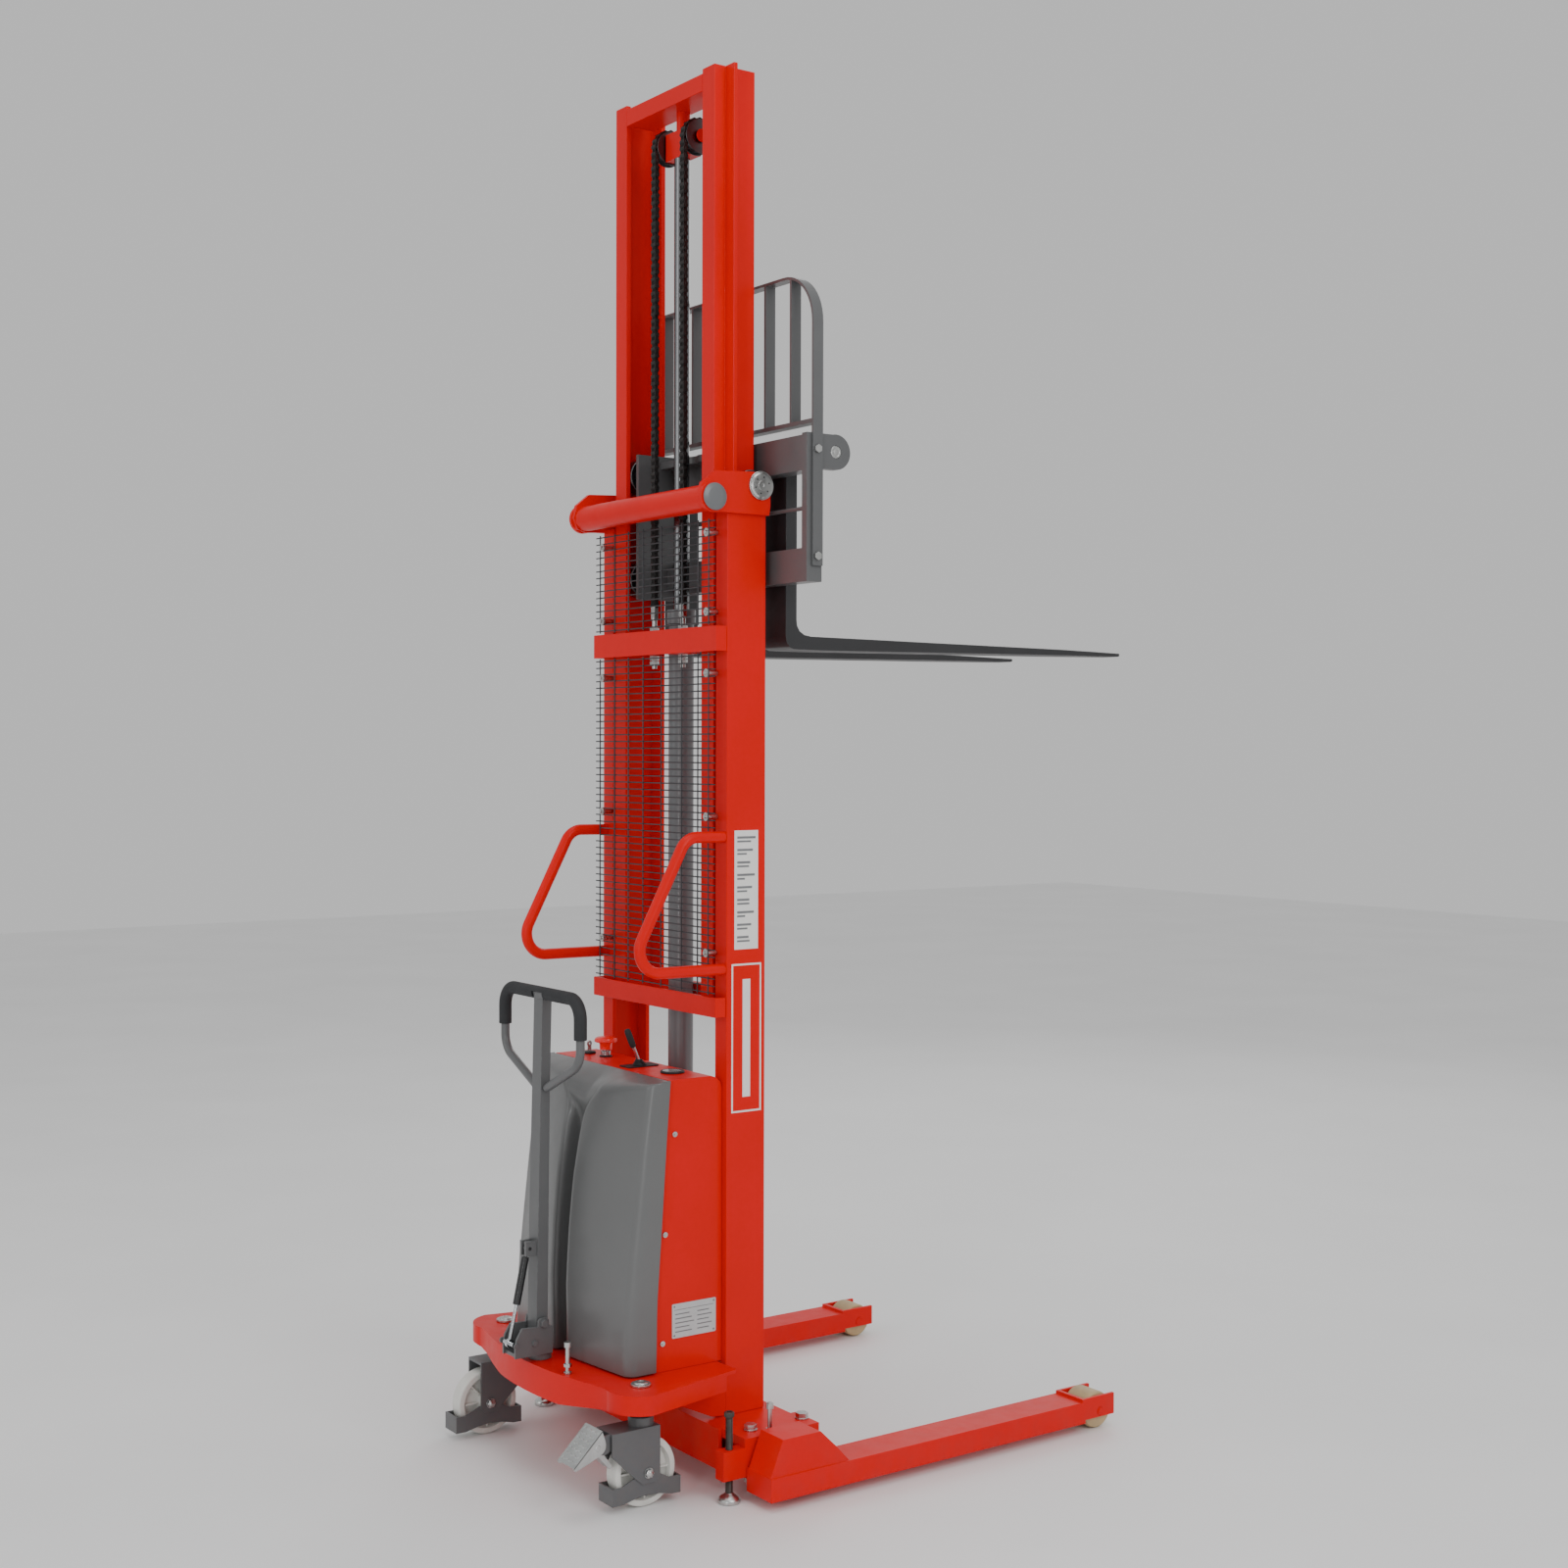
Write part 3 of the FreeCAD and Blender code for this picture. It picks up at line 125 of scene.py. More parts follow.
def surface(name, base, rough=(0.3, 0.4), metal=0.0, coat=0.0, vary=0.06, vary_scale=4.0, grain=1400.0, grain_depth=0.05,
            edge=0.0, edge_col=None, bevel=0.0012, stretch=(1, 1, 1), spec=0.5, coat_rough=0.08, low_darkening=0.0):
    """Paint or metal: broad colour drift, fine surface grain, softened edges and, where asked, a painted highlight
    mixed with rubbed wear along edges and a brownish darkening towards the bottom.
    """
    m, nt, bs = new_mat(name)
    vec = coord(nt, stretch)
    plain = coord(nt)
    drift = noise(nt, plain, vary_scale, 4.0, 0.55)
    col = ramp(nt, drift, [(0.30, scaled(base, 1.0 - vary)), (0.70, scaled(base, 1.0 + vary))])
    fine = noise(nt, vec, grain * 0.12, 3.0, 0.6)
    col = mixc(nt, ramp(nt, fine, [(0.35, 0.0), (0.75, 0.10)]), col, scaled(base, 0.72))
    bev = None
    if bevel:
        bev = nd(nt, "ShaderNodeBevel", samples=4)
        bev.inputs["Radius"].default_value = bevel
    # Along edges, in noisy spots, the colour moves to edge_col: a painted edge highlight where edge_col is lighter than
    # the base, mixed with rubbed wear.
    if edge and bev is not None:
        geo = nd(nt, "ShaderNodeNewGeometry")
        dot = nd(nt, "ShaderNodeVectorMath", operation="DOT_PRODUCT")
        nt.links.new(bev.outputs["Normal"], dot.inputs[0])
        nt.links.new(geo.outputs["Normal"], dot.inputs[1])
        spot = noise(nt, plain, 55.0, 4.0, 0.7)
        edge_sheen_wear_mask = nd(nt, "ShaderNodeMath", operation="MULTIPLY")
        nt.links.new(ramp(nt, dot.outputs["Value"], [(0.90, 1.0), (0.985, 0.0)]), edge_sheen_wear_mask.inputs[0])
        nt.links.new(ramp(nt, spot, [(0.52, 0.0), (0.66, edge)]), edge_sheen_wear_mask.inputs[1])
        col = mixc(nt, edge_sheen_wear_mask.outputs[0], col, edge_col or scaled(base, 1.6))
    # Colour turns darker, brownish and patchy towards the bottom of each piece (object Z below 0.3 m).
    if low_darkening:
        tc = nd(nt, "ShaderNodeTexCoord")
        sep = nd(nt, "ShaderNodeSeparateXYZ")
        nt.links.new(tc.outputs["Object"], sep.inputs[0])
        lowm = ramp(nt, sep.outputs["Z"], [(0.0, low_darkening), (0.30, 0.0)])
        mul = nd(nt, "ShaderNodeMath", operation="MULTIPLY")
        nt.links.new(lowm, mul.inputs[0])
        nt.links.new(ramp(nt, noise(nt, plain, 18.0, 5.0, 0.65), [(0.45, 0.0), (0.7, 1.0)]), mul.inputs[1])
        col = mixc(nt, mul.outputs[0], col, (0.16, 0.13, 0.11))
    nt.links.new(col, bs.inputs["Base Color"])
    rn = noise(nt, vec, 26.0, 4.0, 0.6)
    nt.links.new(ramp(nt, rn, [(0.30, rough[0]), (0.72, rough[1])]), bs.inputs["Roughness"])
    bp = nd(nt, "ShaderNodeBump")
    bp.inputs["Strength"].default_value = 1.0
    bp.inputs["Distance"].default_value = grain_depth / 1000.0
    nt.links.new(noise(nt, vec, grain, 2.0, 0.5), bp.inputs["Height"])
    if bev is not None:
        nt.links.new(bev.outputs["Normal"], bp.inputs["Normal"])
    nt.links.new(bp.outputs["Normal"], bs.inputs["Normal"])
    bs.inputs["Metallic"].default_value = metal
    bs.inputs["Specular IOR Level"].default_value = spec
    if coat:
        bs.inputs["Coat Weight"].default_value = coat
        bs.inputs["Coat Roughness"].default_value = coat_rough
    return m


RED = (0.73, 0.0016, 0.0008)
M = {
    "red": surface("red_enamel", RED, rough=(0.30, 0.42), coat=0.05, coat_rough=0.06, spec=0.16, vary=0.04, grain=700, grain_depth=0.03, edge=0.3, edge_col=scaled(RED, 0.55), bevel=0.0, low_darkening=0.12),
    "cover": surface("cover_grey_moulding", hx("#636464"), rough=(0.30, 0.42), coat=0.35, coat_rough=0.20, vary=0.05, grain=2600, grain_depth=0.05, bevel=0.002),
    "grey": surface("carriage_grey_enamel", hx("#5B5C5D"), rough=(0.34, 0.48), coat=0.25, vary=0.07, grain=900, grain_depth=0.04, edge=0.5, edge_col=(0.30, 0.30, 0.30), bevel=0.0016),
    "fork": surface("fork_black", hx("#2B2B2D"), rough=(0.38, 0.58), vary=0.16, vary_scale=9, grain=420, grain_depth=0.10, edge=0.6, edge_col=(0.20, 0.20, 0.205), bevel=0.0016, stretch=(1, 0.35, 1)),
    "dark": surface("dark_bracket_enamel", hx("#595A5C"), rough=(0.36, 0.5), coat=0.2, vary=0.08, grain=900, grain_depth=0.05, edge=0.5, edge_col=(0.26, 0.26, 0.26), bevel=0.0014, low_darkening=0.3),
    "cylinder": surface("cylinder_enamel", hx("#6A6C6E"), rough=(0.28, 0.40), coat=0.3, vary=0.06, grain=900, grain_depth=0.03, bevel=0.001),
    "zinc": surface("zinc_plate", hx("#C3C4C2"), rough=(0.22, 0.36), metal=1.0, vary=0.10, vary_scale=40, grain=1800, grain_depth=0.03, bevel=0.0006),
    "steel": surface("turned_steel", hx("#B4B5B7"), rough=(0.20, 0.34), metal=1.0, vary=0.08, vary_scale=30, grain=900, grain_depth=0.03, bevel=0.0006, stretch=(1, 6, 6)),
    "roller": surface("roller_steel", hx("#6B6C6E"), rough=(0.26, 0.42), metal=1.0, vary=0.14, vary_scale=20, grain=900, grain_depth=0.04, bevel=0.0008),
    "chain": surface("oiled_chain_steel", hx("#3F3D3C"), rough=(0.28, 0.50), metal=0.85, vary=0.25, vary_scale=60, grain=1200, grain_depth=0.05, bevel=0.0),
    "chrome": surface("chromed_rod", hx("#D5D8DB"), rough=(0.07, 0.14), metal=1.0, vary=0.03, vary_scale=12, grain=1600, grain_depth=0.008, bevel=0.0005, stretch=(1, 1, 8)),
    "rod": surface("polished_rod", hx("#7A7B7D"), rough=(0.16, 0.26), metal=1.0, vary=0.06, vary_scale=12, grain=1600, grain_depth=0.01, bevel=0.0005, stretch=(1, 1, 8)),
    "screw": surface("oiled_jack_screw", hx("#55504C"), rough=(0.34, 0.5), metal=0.7, vary=0.2, vary_scale=50, grain=1000, grain_depth=0.05, bevel=0.0006),
    "wire": surface("dark_wire", hx("#3E3F42"), rough=(0.34, 0.5), metal=0.4, vary=0.15, vary_scale=30, grain=1200, grain_depth=0.03, bevel=0.0),
    "rubber": surface("grip_rubber", hx("#2E2F31"), rough=(0.62, 0.78), vary=0.10, vary_scale=20, grain=1500, grain_depth=0.14, bevel=0.001, spec=0.35),
    "nylon": surface("white_nylon", hx("#DDDCD6"), rough=(0.34, 0.46), vary=0.04, vary_scale=14, grain=900, grain_depth=0.04, bevel=0.0012, low_darkening=0.12),
    "pu": surface("load_wheel_polyurethane", hx("#BFA77C"), rough=(0.42, 0.55), vary=0.09, vary_scale=20, grain=800, grain_depth=0.06, bevel=0.001, low_darkening=0.35),
    "black": surface("black_moulding", hx("#1C1D1F"), rough=(0.42, 0.56), vary=0.12, vary_scale=18, grain=1600, grain_depth=0.06, bevel=0.0006),
    "blackpaint": surface("gas_spring_black", hx("#17181A"), rough=(0.22, 0.34), coat=0.4, vary=0.10, vary_scale=18, grain=900, grain_depth=0.02, bevel=0.0006),
    "stop": surface("stop_button_red", hx("#FF1A14"), rough=(0.24, 0.34), coat=0.3, vary=0.05, vary_scale=25, grain=900, grain_depth=0.02, bevel=0.001),
    "plate": surface("etched_plate", hx("#C9CACA"), rough=(0.30, 0.42), metal=0.9, vary=0.05, vary_scale=30, grain=2200, grain_depth=0.02, bevel=0.0004, stretch=(1, 12, 1)),
    "print": surface("printed_grey", hx("#77797B"), rough=(0.4, 0.5), vary=0.08, vary_scale=40, grain=900, grain_depth=0.01, bevel=0.0),
    "sticker": surface("white_vinyl", hx("#ECEBE7"), rough=(0.34, 0.44), coat=0.2, vary=0.03, vary_scale=14, grain=1200, grain_depth=0.015, bevel=0.0),
    "emboss": surface("pressed_zinc_pedal", hx("#BFC1C0"), rough=(0.26, 0.42), metal=1.0, vary=0.12, vary_scale=30, grain=1200, grain_depth=0.05, bevel=0.0008),
}


def glass():
    m, nt, bs = new_mat("gauge_lens")
    vec = coord(nt)
    nt.links.new(ramp(nt, noise(nt, vec, 60.0), [(0.3, 0.04), (0.7, 0.09)]), bs.inputs["Roughness"])
    nt.links.new(ramp(nt, noise(nt, vec, 30.0), [(0.3, (0.86, 0.88, 0.88)), (0.7, (0.93, 0.94, 0.94))]), bs.inputs["Base Color"])
    bs.inputs["Transmission Weight"].default_value = 0.9
    bs.inputs["IOR"].default_value = 1.47
    return m


M["glass"] = glass()

CAD_MAT = {
    "outer_mast_columns": "red", "mast_top_brackets": "red", "mast_top_tube": "red", "mast_cross_bars": "red", "mesh_clips": "zinc", "grab_handles": "red",
    "chassis_crossmember": "red", "leg_clamps": "red", "frame_bolts": "zinc", "base_deck": "red", "lift_cylinder": "cylinder", "piston_rod": "rod",
    "battery": "black", "hydraulic_power_unit": "dark", "power_pack_housing": "red", "cover_screws": "zinc", "name_plate": "plate", "panel_fittings": "black",
    "e_stop_button": "stop", "switch_key": "zinc", "lift_lever": "chrome", "inner_mast_columns": "red", "inner_crossbars": "red", "pulley_yoke": "red",
    "chain_pulleys": "roller", "mast_guide_rollers": "roller", "top_guide_rollers": "roller", "carriage_frame": "grey", "carriage_rods": "grey", "carriage_bolts": "zinc",
    "carriage_rollers_upper": "roller", "carriage_rollers_lower": "roller", "load_backrest": "grey", "fork_right": "fork", "fork_left": "fork",
    "straddle_leg_right": "red", "straddle_leg_left": "red", "load_wheel_right": "pu", "load_wheel_left": "pu", "jack_screw_right": "zinc", "jack_screw_left": "zinc",
    "steering_head": "grey", "steering_chain": "chain", "tiller_arm": "grey", "tiller_handle": "grey", "tiller_grip": "rubber", "gas_spring_cylinder": "blackpaint",
    "gas_spring_rod": "chrome", "caster_fork_right": "dark", "caster_fork_left": "dark", "toe_guard_right": "dark", "toe_guard_left": "dark",
    "caster_wheel_right": "nylon", "caster_wheel_left": "nylon", "brake_pedal": "emboss", "front_cover": "cover", "mesh_guards": "wire",
    "lift_chain_rear": "chain", "lift_chain_front": "chain", "lift_chain_wrap": "chain",
}
for name, o in NODES.items():
    m = M[CAD_MAT[name]]
    if not o.material_slots:
        o.data.materials.append(m)
    for s in o.material_slots:
        s.material = m


# ------------------------------------------------------------------ mesh helpers (mast-frame millimetres)
class Mesh:
    def __init__(self):
        self.v = []
        self.f = []

    def add(self, verts, faces):
        k = len(self.v)
        self.v += [tuple(p) for p in verts]
        self.f += [tuple(i + k for i in f) for f in faces]
        return self

    def merge(self, other, mat=None):
        if mat is None:
            return self.add(other.v, other.f)
        return self.add([tuple(mat @ Vector(p)) for p in other.v], other.f)


AX = {"x": (Vector((1, 0, 0)), Vector((0, 1, 0)), Vector((0, 0, 1))),
      "y": (Vector((0, 1, 0)), Vector((0, 0, 1)), Vector((1, 0, 0))),
      "z": (Vector((0, 0, 1)), Vector((1, 0, 0)), Vector((0, 1, 0)))}


def basis(d):
    d = Vector(d).normalized()
    h = Vector((0, 0, 1)) if abs(d.z) < 0.9 else Vector((1, 0, 0))
    u = h.cross(d).normalized()
    return d, u, d.cross(u)


def lathe(profile, origin, axis="x", seg=48, closed=False):
    """Turned shape: profile of (distance along the axis, radius)."""
    a, u, w = AX[axis] if isinstance(axis, str) else basis(axis)
    o = Vector(origin)
    me = Mesh()
    rows = []
    for (t, r) in profile:
        if r <= 1e-6:
            me.v.append(tuple(o + a * t))
            rows.append([len(me.v) - 1])
        else:
            k = len(me.v)
            for i in range(seg):
                an = 2 * math.pi * i / seg
                me.v.append(tuple(o + a * t + (u * math.cos(an) + w * math.sin(an)) * r))
            rows.append(list(range(k, k + seg)))
    pairs = list(zip(rows, rows[1:]))
    if closed:
        pairs.append((rows[-1], rows[0]))
    for A, B in pairs:
        for i in range(seg):
            j = (i + 1) % seg
            if len(A) == 1 and len(B) == 1:
                continue
            if len(A) == 1:
                me.f.append((A[0], B[j], B[i]))
            elif len(B) == 1:
                me.f.append((A[i], A[j], B[0]))
            else:
                me.f.append((A[i], A[j], B[j], B[i]))
    if not closed:
        if len(rows[0]) > 1:
            me.f.append(tuple(reversed(rows[0])))
        if len(rows[-1]) > 1:
            me.f.append(tuple(rows[-1]))
    return me


def prism(poly, axis, lo, hi):
    """Closed polygon pushed along an axis: (y, z) for x, (x, z) for y, (x, y) for z."""
    def at(p, t):
        return {"x": (t, p[0], p[1]), "y": (p[0], t, p[1]), "z": (p[0], p[1], t)}[axis]
    n = len(poly)
    v = [at(p, lo) for p in poly] + [at(p, hi) for p in poly]
    f = [tuple(range(n)), tuple(range(2 * n - 1, n - 1, -1))]
    f += [(i, i + n, (i + 1) % n + n, (i + 1) % n) for i in range(n)]
    return Mesh().add(v, f)


def block(x0, x1, y0, y1, z0, z1):
    return prism([(x0, y0), (x1, y0), (x1, y1), (x0, y1)], "z", z0, z1)


def route(points, bends, step=7.0):
    """Straight runs joined by tangent arcs, as a list of points."""
    pts = [Vector(p) for p in points]
    out = [pts[0]]
    for i in range(1, len(pts) - 1):
        p, a, b = pts[i], pts[i - 1], pts[i + 1]
        u, w = (a - p).normalized(), (b - p).normalized()
        half = math.acos(max(-1, min(1, u.dot(w)))) / 2
        r = bends[i - 1]
        d = r / math.tan(half)
        mid = (u + w).normalized()
        c = p + mid * (r / math.sin(half))
        s, e = p + u * d - c, p + w * d - c
        n = max(6, int(math.degrees(math.pi - 2 * half) / step))
        for k in range(n + 1):
            t = k / n
            q = s.slerp(e, t) if s.length > 0 else s
            out.append(c + q.normalized() * r)
    out.append(pts[-1])
    return out


def sweep(path, r, seg=20, radii=None, cap=True):
    me = Mesh()
    n = len(path)
    tang = []
    for i in range(n):
        a = path[max(0, i - 1)]
        b = path[min(n - 1, i + 1)]
        tang.append((b - a).normalized())
    d, u, w = basis(tang[0])
    for i in range(n):
        t = tang[i]
        u = (u - t * u.dot(t)).normalized()
        w = t.cross(u)
        rr = radii[i] if radii else r
        for k in range(seg):
            an = 2 * math.pi * k / seg
            me.v.append(tuple(path[i] + (u * math.cos(an) + w * math.sin(an)) * rr))
    for i in range(n - 1):
        for k in range(seg):
            j = (k + 1) % seg
            me.f.append((i * seg + k, i * seg + j, (i + 1) * seg + j, (i + 1) * seg + k))
    if cap:
        me.f.append(tuple(reversed(range(seg))))
        me.f.append(tuple(range((n - 1) * seg, n * seg)))
    return me


def hexa(origin, axis, across, length, seg=6, dome=0.6):
    r = across / math.sqrt(3)
    return lathe([(0, r * 0.96), (0.4, r), (length - 0.9, r), (length, r * 0.9), (length, 0)] if dome else [(0, r), (length, r)], origin, axis, seg=6)


def bolt(origin, axis, across, head, shank_r, shank, washer=True):
    me = Mesh()
    s = Vector(origin)
    a = AX[axis][0] if isinstance(axis, str) else Vector(axis).normalized()
    if washer:
        me.merge(lathe([(0, 0), (0, across * 0.62), (1.6, across * 0.62), (2.0, across * 0.58), (2.0, 0)], s, axis, 32))
        s = s + a * 2.0
    me.merge(hexa(s, axis, across, head))
    if shank:
        me.merge(thread(s + a * head, axis, shank_r, shank))
    return me


def thread(origin, axis, r, length, pitch=2.0):
    n = max(2, int(length / pitch))
    prof = [(0, 0)]
    for i in range(n):
        t = length * i / n
        prof += [(t + 0.05 * pitch, r * 0.88), (t + 0.5 * pitch, r)]
    prof += [(length, r * 0.8), (length, 0)]
    return lathe(prof, origin, axis, 24)


def piece(name, me, mat, body, replaces=(), bevel=0.0, angle=34.0, subsurf=0, recalc=True, seg=2):
    mesh = bpy.data.meshes.new(name)
    mesh.from_pydata([tuple(P(*p)) for p in me.v], [], me.f)
    mesh.update()
    if recalc:
        bm = bmesh.new()
        bm.from_mesh(mesh)
        bmesh.ops.remove_doubles(bm, verts=bm.verts, dist=1e-6)
        bmesh.ops.recalc_face_normals(bm, faces=bm.faces)
        bm.to_mesh(mesh)
        bm.free()
    mesh.polygons.foreach_set("use_smooth", [True] * len(mesh.polygons))
    mesh.set_sharp_from_angle(angle=math.radians(angle))
    mesh.materials.append(M[mat])
    o = bpy.data.objects.new(name, mesh)
    bpy.context.scene.collection.objects.link(o)
    if bevel:
        b = o.modifiers.new("edge", "BEVEL")
        b.width = bevel / 1000.0
        b.segments = seg
        b.limit_method = "ANGLE"
        b.angle_limit = math.radians(30)
        b.harden_normals = False
    if subsurf:
        s = o.modifiers.new("smooth", "SUBSURF")
        s.levels = subsurf
        s.render_levels = subsurf
    if replaces:
        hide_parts(*replaces)
    if body is not None:
        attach(o, body)
    return o


# ------------------------------------------------------------------ lift chains
def eight(R, waist, n=9):
    """Outline of one link plate about two pins a unit pitch apart."""
    def out(pitch):
        pts = []
        for i in range(n):
            an = math.pi / 2 + math.pi * i / (n - 1)
            pts.append((R * math.cos(an), R * math.sin(an)))
        pts.append((pitch / 2, -waist))
        for i in range(n):
            an = -math.pi / 2 + math.pi * i / (n - 1)
            pts.append((pitch + R * math.cos(an), R * math.sin(an)))
        pts.append((pitch / 2, waist))
        return pts
    return out


def chain(points, pin, plates_a, plates_b, thick, R, waist, pin_r, pin_half, roller=None, ends=(True, True)):
    me = Mesh()
    outline = eight(R, waist)
    pin = Vector(pin).normalized()
    for i in range(len(points) - 1):
        p, q = Vector(points[i]), Vector(points[i + 1])
        t = (q - p)
        L = t.length
        t.normalize()
        nrm = pin.cross(t)
        poly = outline(L)
        m = len(poly)
        for off in (plates_a if i % 2 == 0 else plates_b):
            lo = [p + t * a + nrm * b + pin * (off - thick / 2) for a, b in poly]
            hi = [p + t * a + nrm * b + pin * (off + thick / 2) for a, b in poly]
            me.add(lo + hi, [tuple(reversed(range(m))), tuple(range(m, 2 * m))] + [(k, (k + 1) % m, (k + 1) % m + m, k + m) for k in range(m)])
    for i, p in enumerate(points):
        if (i == 0 and not ends[0]) or (i == len(points) - 1 and not ends[1]):
            continue
        me.merge(lathe([(-pin_half, 0), (-pin_half, pin_r * 0.8), (-pin_half + 0.6, pin_r), (pin_half - 0.6, pin_r), (pin_half, pin_r * 0.8), (pin_half, 0)], p, tuple(pin), 10))
        if roller:
            me.merge(lathe([(-roller[1], pin_r), (-roller[1], roller[0]), (roller[1], roller[0]), (roller[1], pin_r)], p, tuple(pin), 12, closed=True))
    return me


LEAF = dict(plates_a=(-8.0, -2.7, 2.7, 8.0), plates_b=(-5.35, 0.0, 5.35), thick=2.3, R=5.9, waist=4.3, pin_r=2.7, pin_half=9.9)
rear_pts = [1899 + (2939 - 1899) * i / 66.0 for i in range(67)]
front_pts = [2939 - (2939 - 2288) * i / 42.0 for i in range(43)]
wrap_pts = [math.pi - math.pi * i / 8.0 for i in range(9)]
rear, front, wrap = Mesh(), Mesh(), Mesh()
for sx in (1, -1):
    rear.merge(chain([(sx * 60, 16, z) for z in rear_pts], (1, 0, 0), ends=(True, False), **LEAF))
    front.merge(chain([(sx * 60, 90, z) for z in front_pts], (1, 0, 0), ends=(False, True), **LEAF))
    wrap.merge(chain([(sx * 60, 53 + 37 * math.cos(a), 2939 + 37 * math.sin(a)) for a in wrap_pts], (1, 0, 0), **LEAF))
o = piece("lift_chain_links_rear", rear, "chain", None, replaces=["lift_chain_rear"], recalc=False)
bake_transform(o)
o = piece("lift_chain_links_front", front, "chain", None, replaces=["lift_chain_front"], recalc=False)
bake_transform(o)
piece("lift_chain_links_wrap", wrap, "chain", "inner_mast", replaces=["lift_chain_wrap"], recalc=False)

# ------------------------------------------------------------------ mesh guards: round wires with combed ends
wires = Mesh()


def wire(a, b, r=1.5):
    a, b = Vector(a), Vector(b)
    d = (b - a).normalized()
    wires.merge(lathe([(0, 0), (0, r * 0.7), (0.5, r), ((b - a).length - 0.5, r), ((b - a).length, r * 0.7), ((b - a).length, 0)], a, tuple(d), 8))


XS = (-230.0, -164.0, -103.0, -39.0, 38.0, 123.0, 188.0, 230.0)
for z0, z1, n, skip in ((1846.0, 2064.0, 14, ()), (1046.0, 1776.0, 47, (1383.0, 1097.0))):
    for i in range(n + 1):
        z = z0 + (z1 - z0) * i / n
        near = any(abs(z - k) < 18 for k in skip)
        wire((-233 if near else -252, -25.0, z), (233 if near else 252, -25.0, z))
    for x in XS:
        wire((x, -27.4, z0 - 5), (x, -27.4, z1 + 5))
piece("guard_wires", wires, "wire", "root", replaces=["mesh_guards"], recalc=False)

# ------------------------------------------------------------------ power pack cover
def pack_rear(z):
    return float(np.interp(z, [247, 394, 563, 750, 868], [-171, -169, -157, -145, -136]))


def catmull(pts, per=6):
    pts = [np.array(p, float) for p in pts]
    out = []
    for i in range(len(pts) - 1):
        p0 = pts[max(i - 1, 0)]
        p1, p2 = pts[i], pts[i + 1]
        p3 = pts[min(i + 2, len(pts) - 1)]
        for k in range(per):
            t = k / per
            out.append(0.5 * ((2 * p1) + (-p0 + p2) * t + (2 * p0 - 5 * p1 + 4 * p2 - p3) * t * t + (-p0 + 3 * p1 - 3 * p2 + p3) * t ** 3))
    out.append(pts[-1])
    return out


def cover_half(z):
    """Half section of the cover at one height, from the outer edge to the middle: side wall, rounded edge, broad face, and the channel behind the tiller arm."""
    din = float(np.interp(z, [251, 348, 420, 535, 640, 720, 781, 827, 868], [92, 94, 98, 100, 97, 89, 80, 72, 68]))
    dout = float(np.interp(z, [251, 330, 550, 700, 820, 868], [71, 71, 64, 57, 50, 47]))
    w = float(np.interp(z, [247, 600, 770, 790, 806, 824, 868], [22, 24, 27, 32, 44, 66, 90]))
    ch = float(np.interp(z, [251, 690, 745, 796, 815, 868], [50, 50, 40, 15, 5, 2]))
    xc, r = 227.8, 26.0

    def face(x):
        t = min(1.0, max(0.0, (x - w - 8.0) / (xc - w - 8.0)))
        return din + (dout - din) * t ** 1.15
    dc = face(xc)
    pts = [(253.5, 0.0), (253.8, 0.28 * (dc - r)), (253.8, 0.7 * (dc - r))]
    pts += [(xc + r * math.cos(math.radians(q)), dc - r + r * math.sin(math.radians(q))) for q in range(0, 91, 9)]
    pts += [(xc + (w + 16 - xc) * k / 9.0, face(xc + (w + 16 - xc) * k / 9.0)) for k in range(1, 10)]
    top_d = face(w + 8)
    k = min(1.0, ch / 24.0)
    pts += [(w + 10, top_d - 0.6 * k), (w + 5.5, top_d - 3.0 * k), (w + 2.5, top_d - 7.5 * k), (w + 0.8, top_d - 0.34 * ch), (w - 0.8, top_d - 0.62 * ch), (w - 2.8, top_d - 0.86 * ch), (w - 6.5, top_d - 0.98 * ch), (w * 0.5, top_d - ch), (0.0, top_d - ch)]
    out = []
    for x, d in pts:
        zt = float(np.interp(x, [0, 14, 60, 130, 200, 250], [800, 822, 838, 848, 856, 862]))
        lim = (face(x) + 3.0) * (max(0.0, 868.4 - z) / (868.4 - zt)) ** 0.85
        out.append((x, d if d <= 0.01 else 1.0 / ((1.0 / d) ** 7 + (1.0 / max(lim, 0.4)) ** 7) ** (1.0 / 7.0)))
    return out


cov = Mesh()
rows = []
for z in (251, 262, 280, 305, 335, 370, 410, 450, 490, 530, 570, 610, 650, 685, 712, 735, 755, 772, 786, 797, 806, 814, 821, 827, 832, 837, 841.5, 845.5, 849, 852, 855, 857.5, 860, 862, 863.8, 865.3, 866.5, 867.4, 868):
    half = cover_half(float(z))
    sec = half + [(-x, d) for x, d in reversed(half[:-1])]
    e = pack_rear(z) - 0.6
    k = len(cov.v)
    for (x, d) in sec:
        cov.v.append((x, e - d, z))
    rows.append(list(range(k, k + len(sec))))
for A, B in zip(rows, rows[1:]):
    for i in range(len(A) - 1):
        cov.f.append((A[i], A[i + 1], B[i + 1], B[i]))
o = piece("moulded_front_cover", cov, "cover", None, replaces=["front_cover"], angle=60, recalc=True)
# thickness goes inwards, away from the operator
me_ = o.data
avg = sum((p.normal.y for p in me_.polygons), 0.0)
if avg > 0:
    me_.flip_normals()
so = o.modifiers.new("wall", "SOLIDIFY")
so.thickness = 0.0042
so.offset = -1.0
bv = o.modifiers.new("lip", "BEVEL")
bv.width = 0.0014
bv.segments = 3
bv.limit_method = "ANGLE"
bv.angle_limit = math.radians(50)
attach(o, "root")

# ------------------------------------------------------------------ controls on the panel
def stop_cap():
    return lathe([(0, 0), (0, 24.2), (1.2, 25.2), (6, 25.4), (9.0, 24.0), (11.0, 20.0), (12.2, 12.0), (12.6, 0)], (-127, -72, 902), "z", 48)


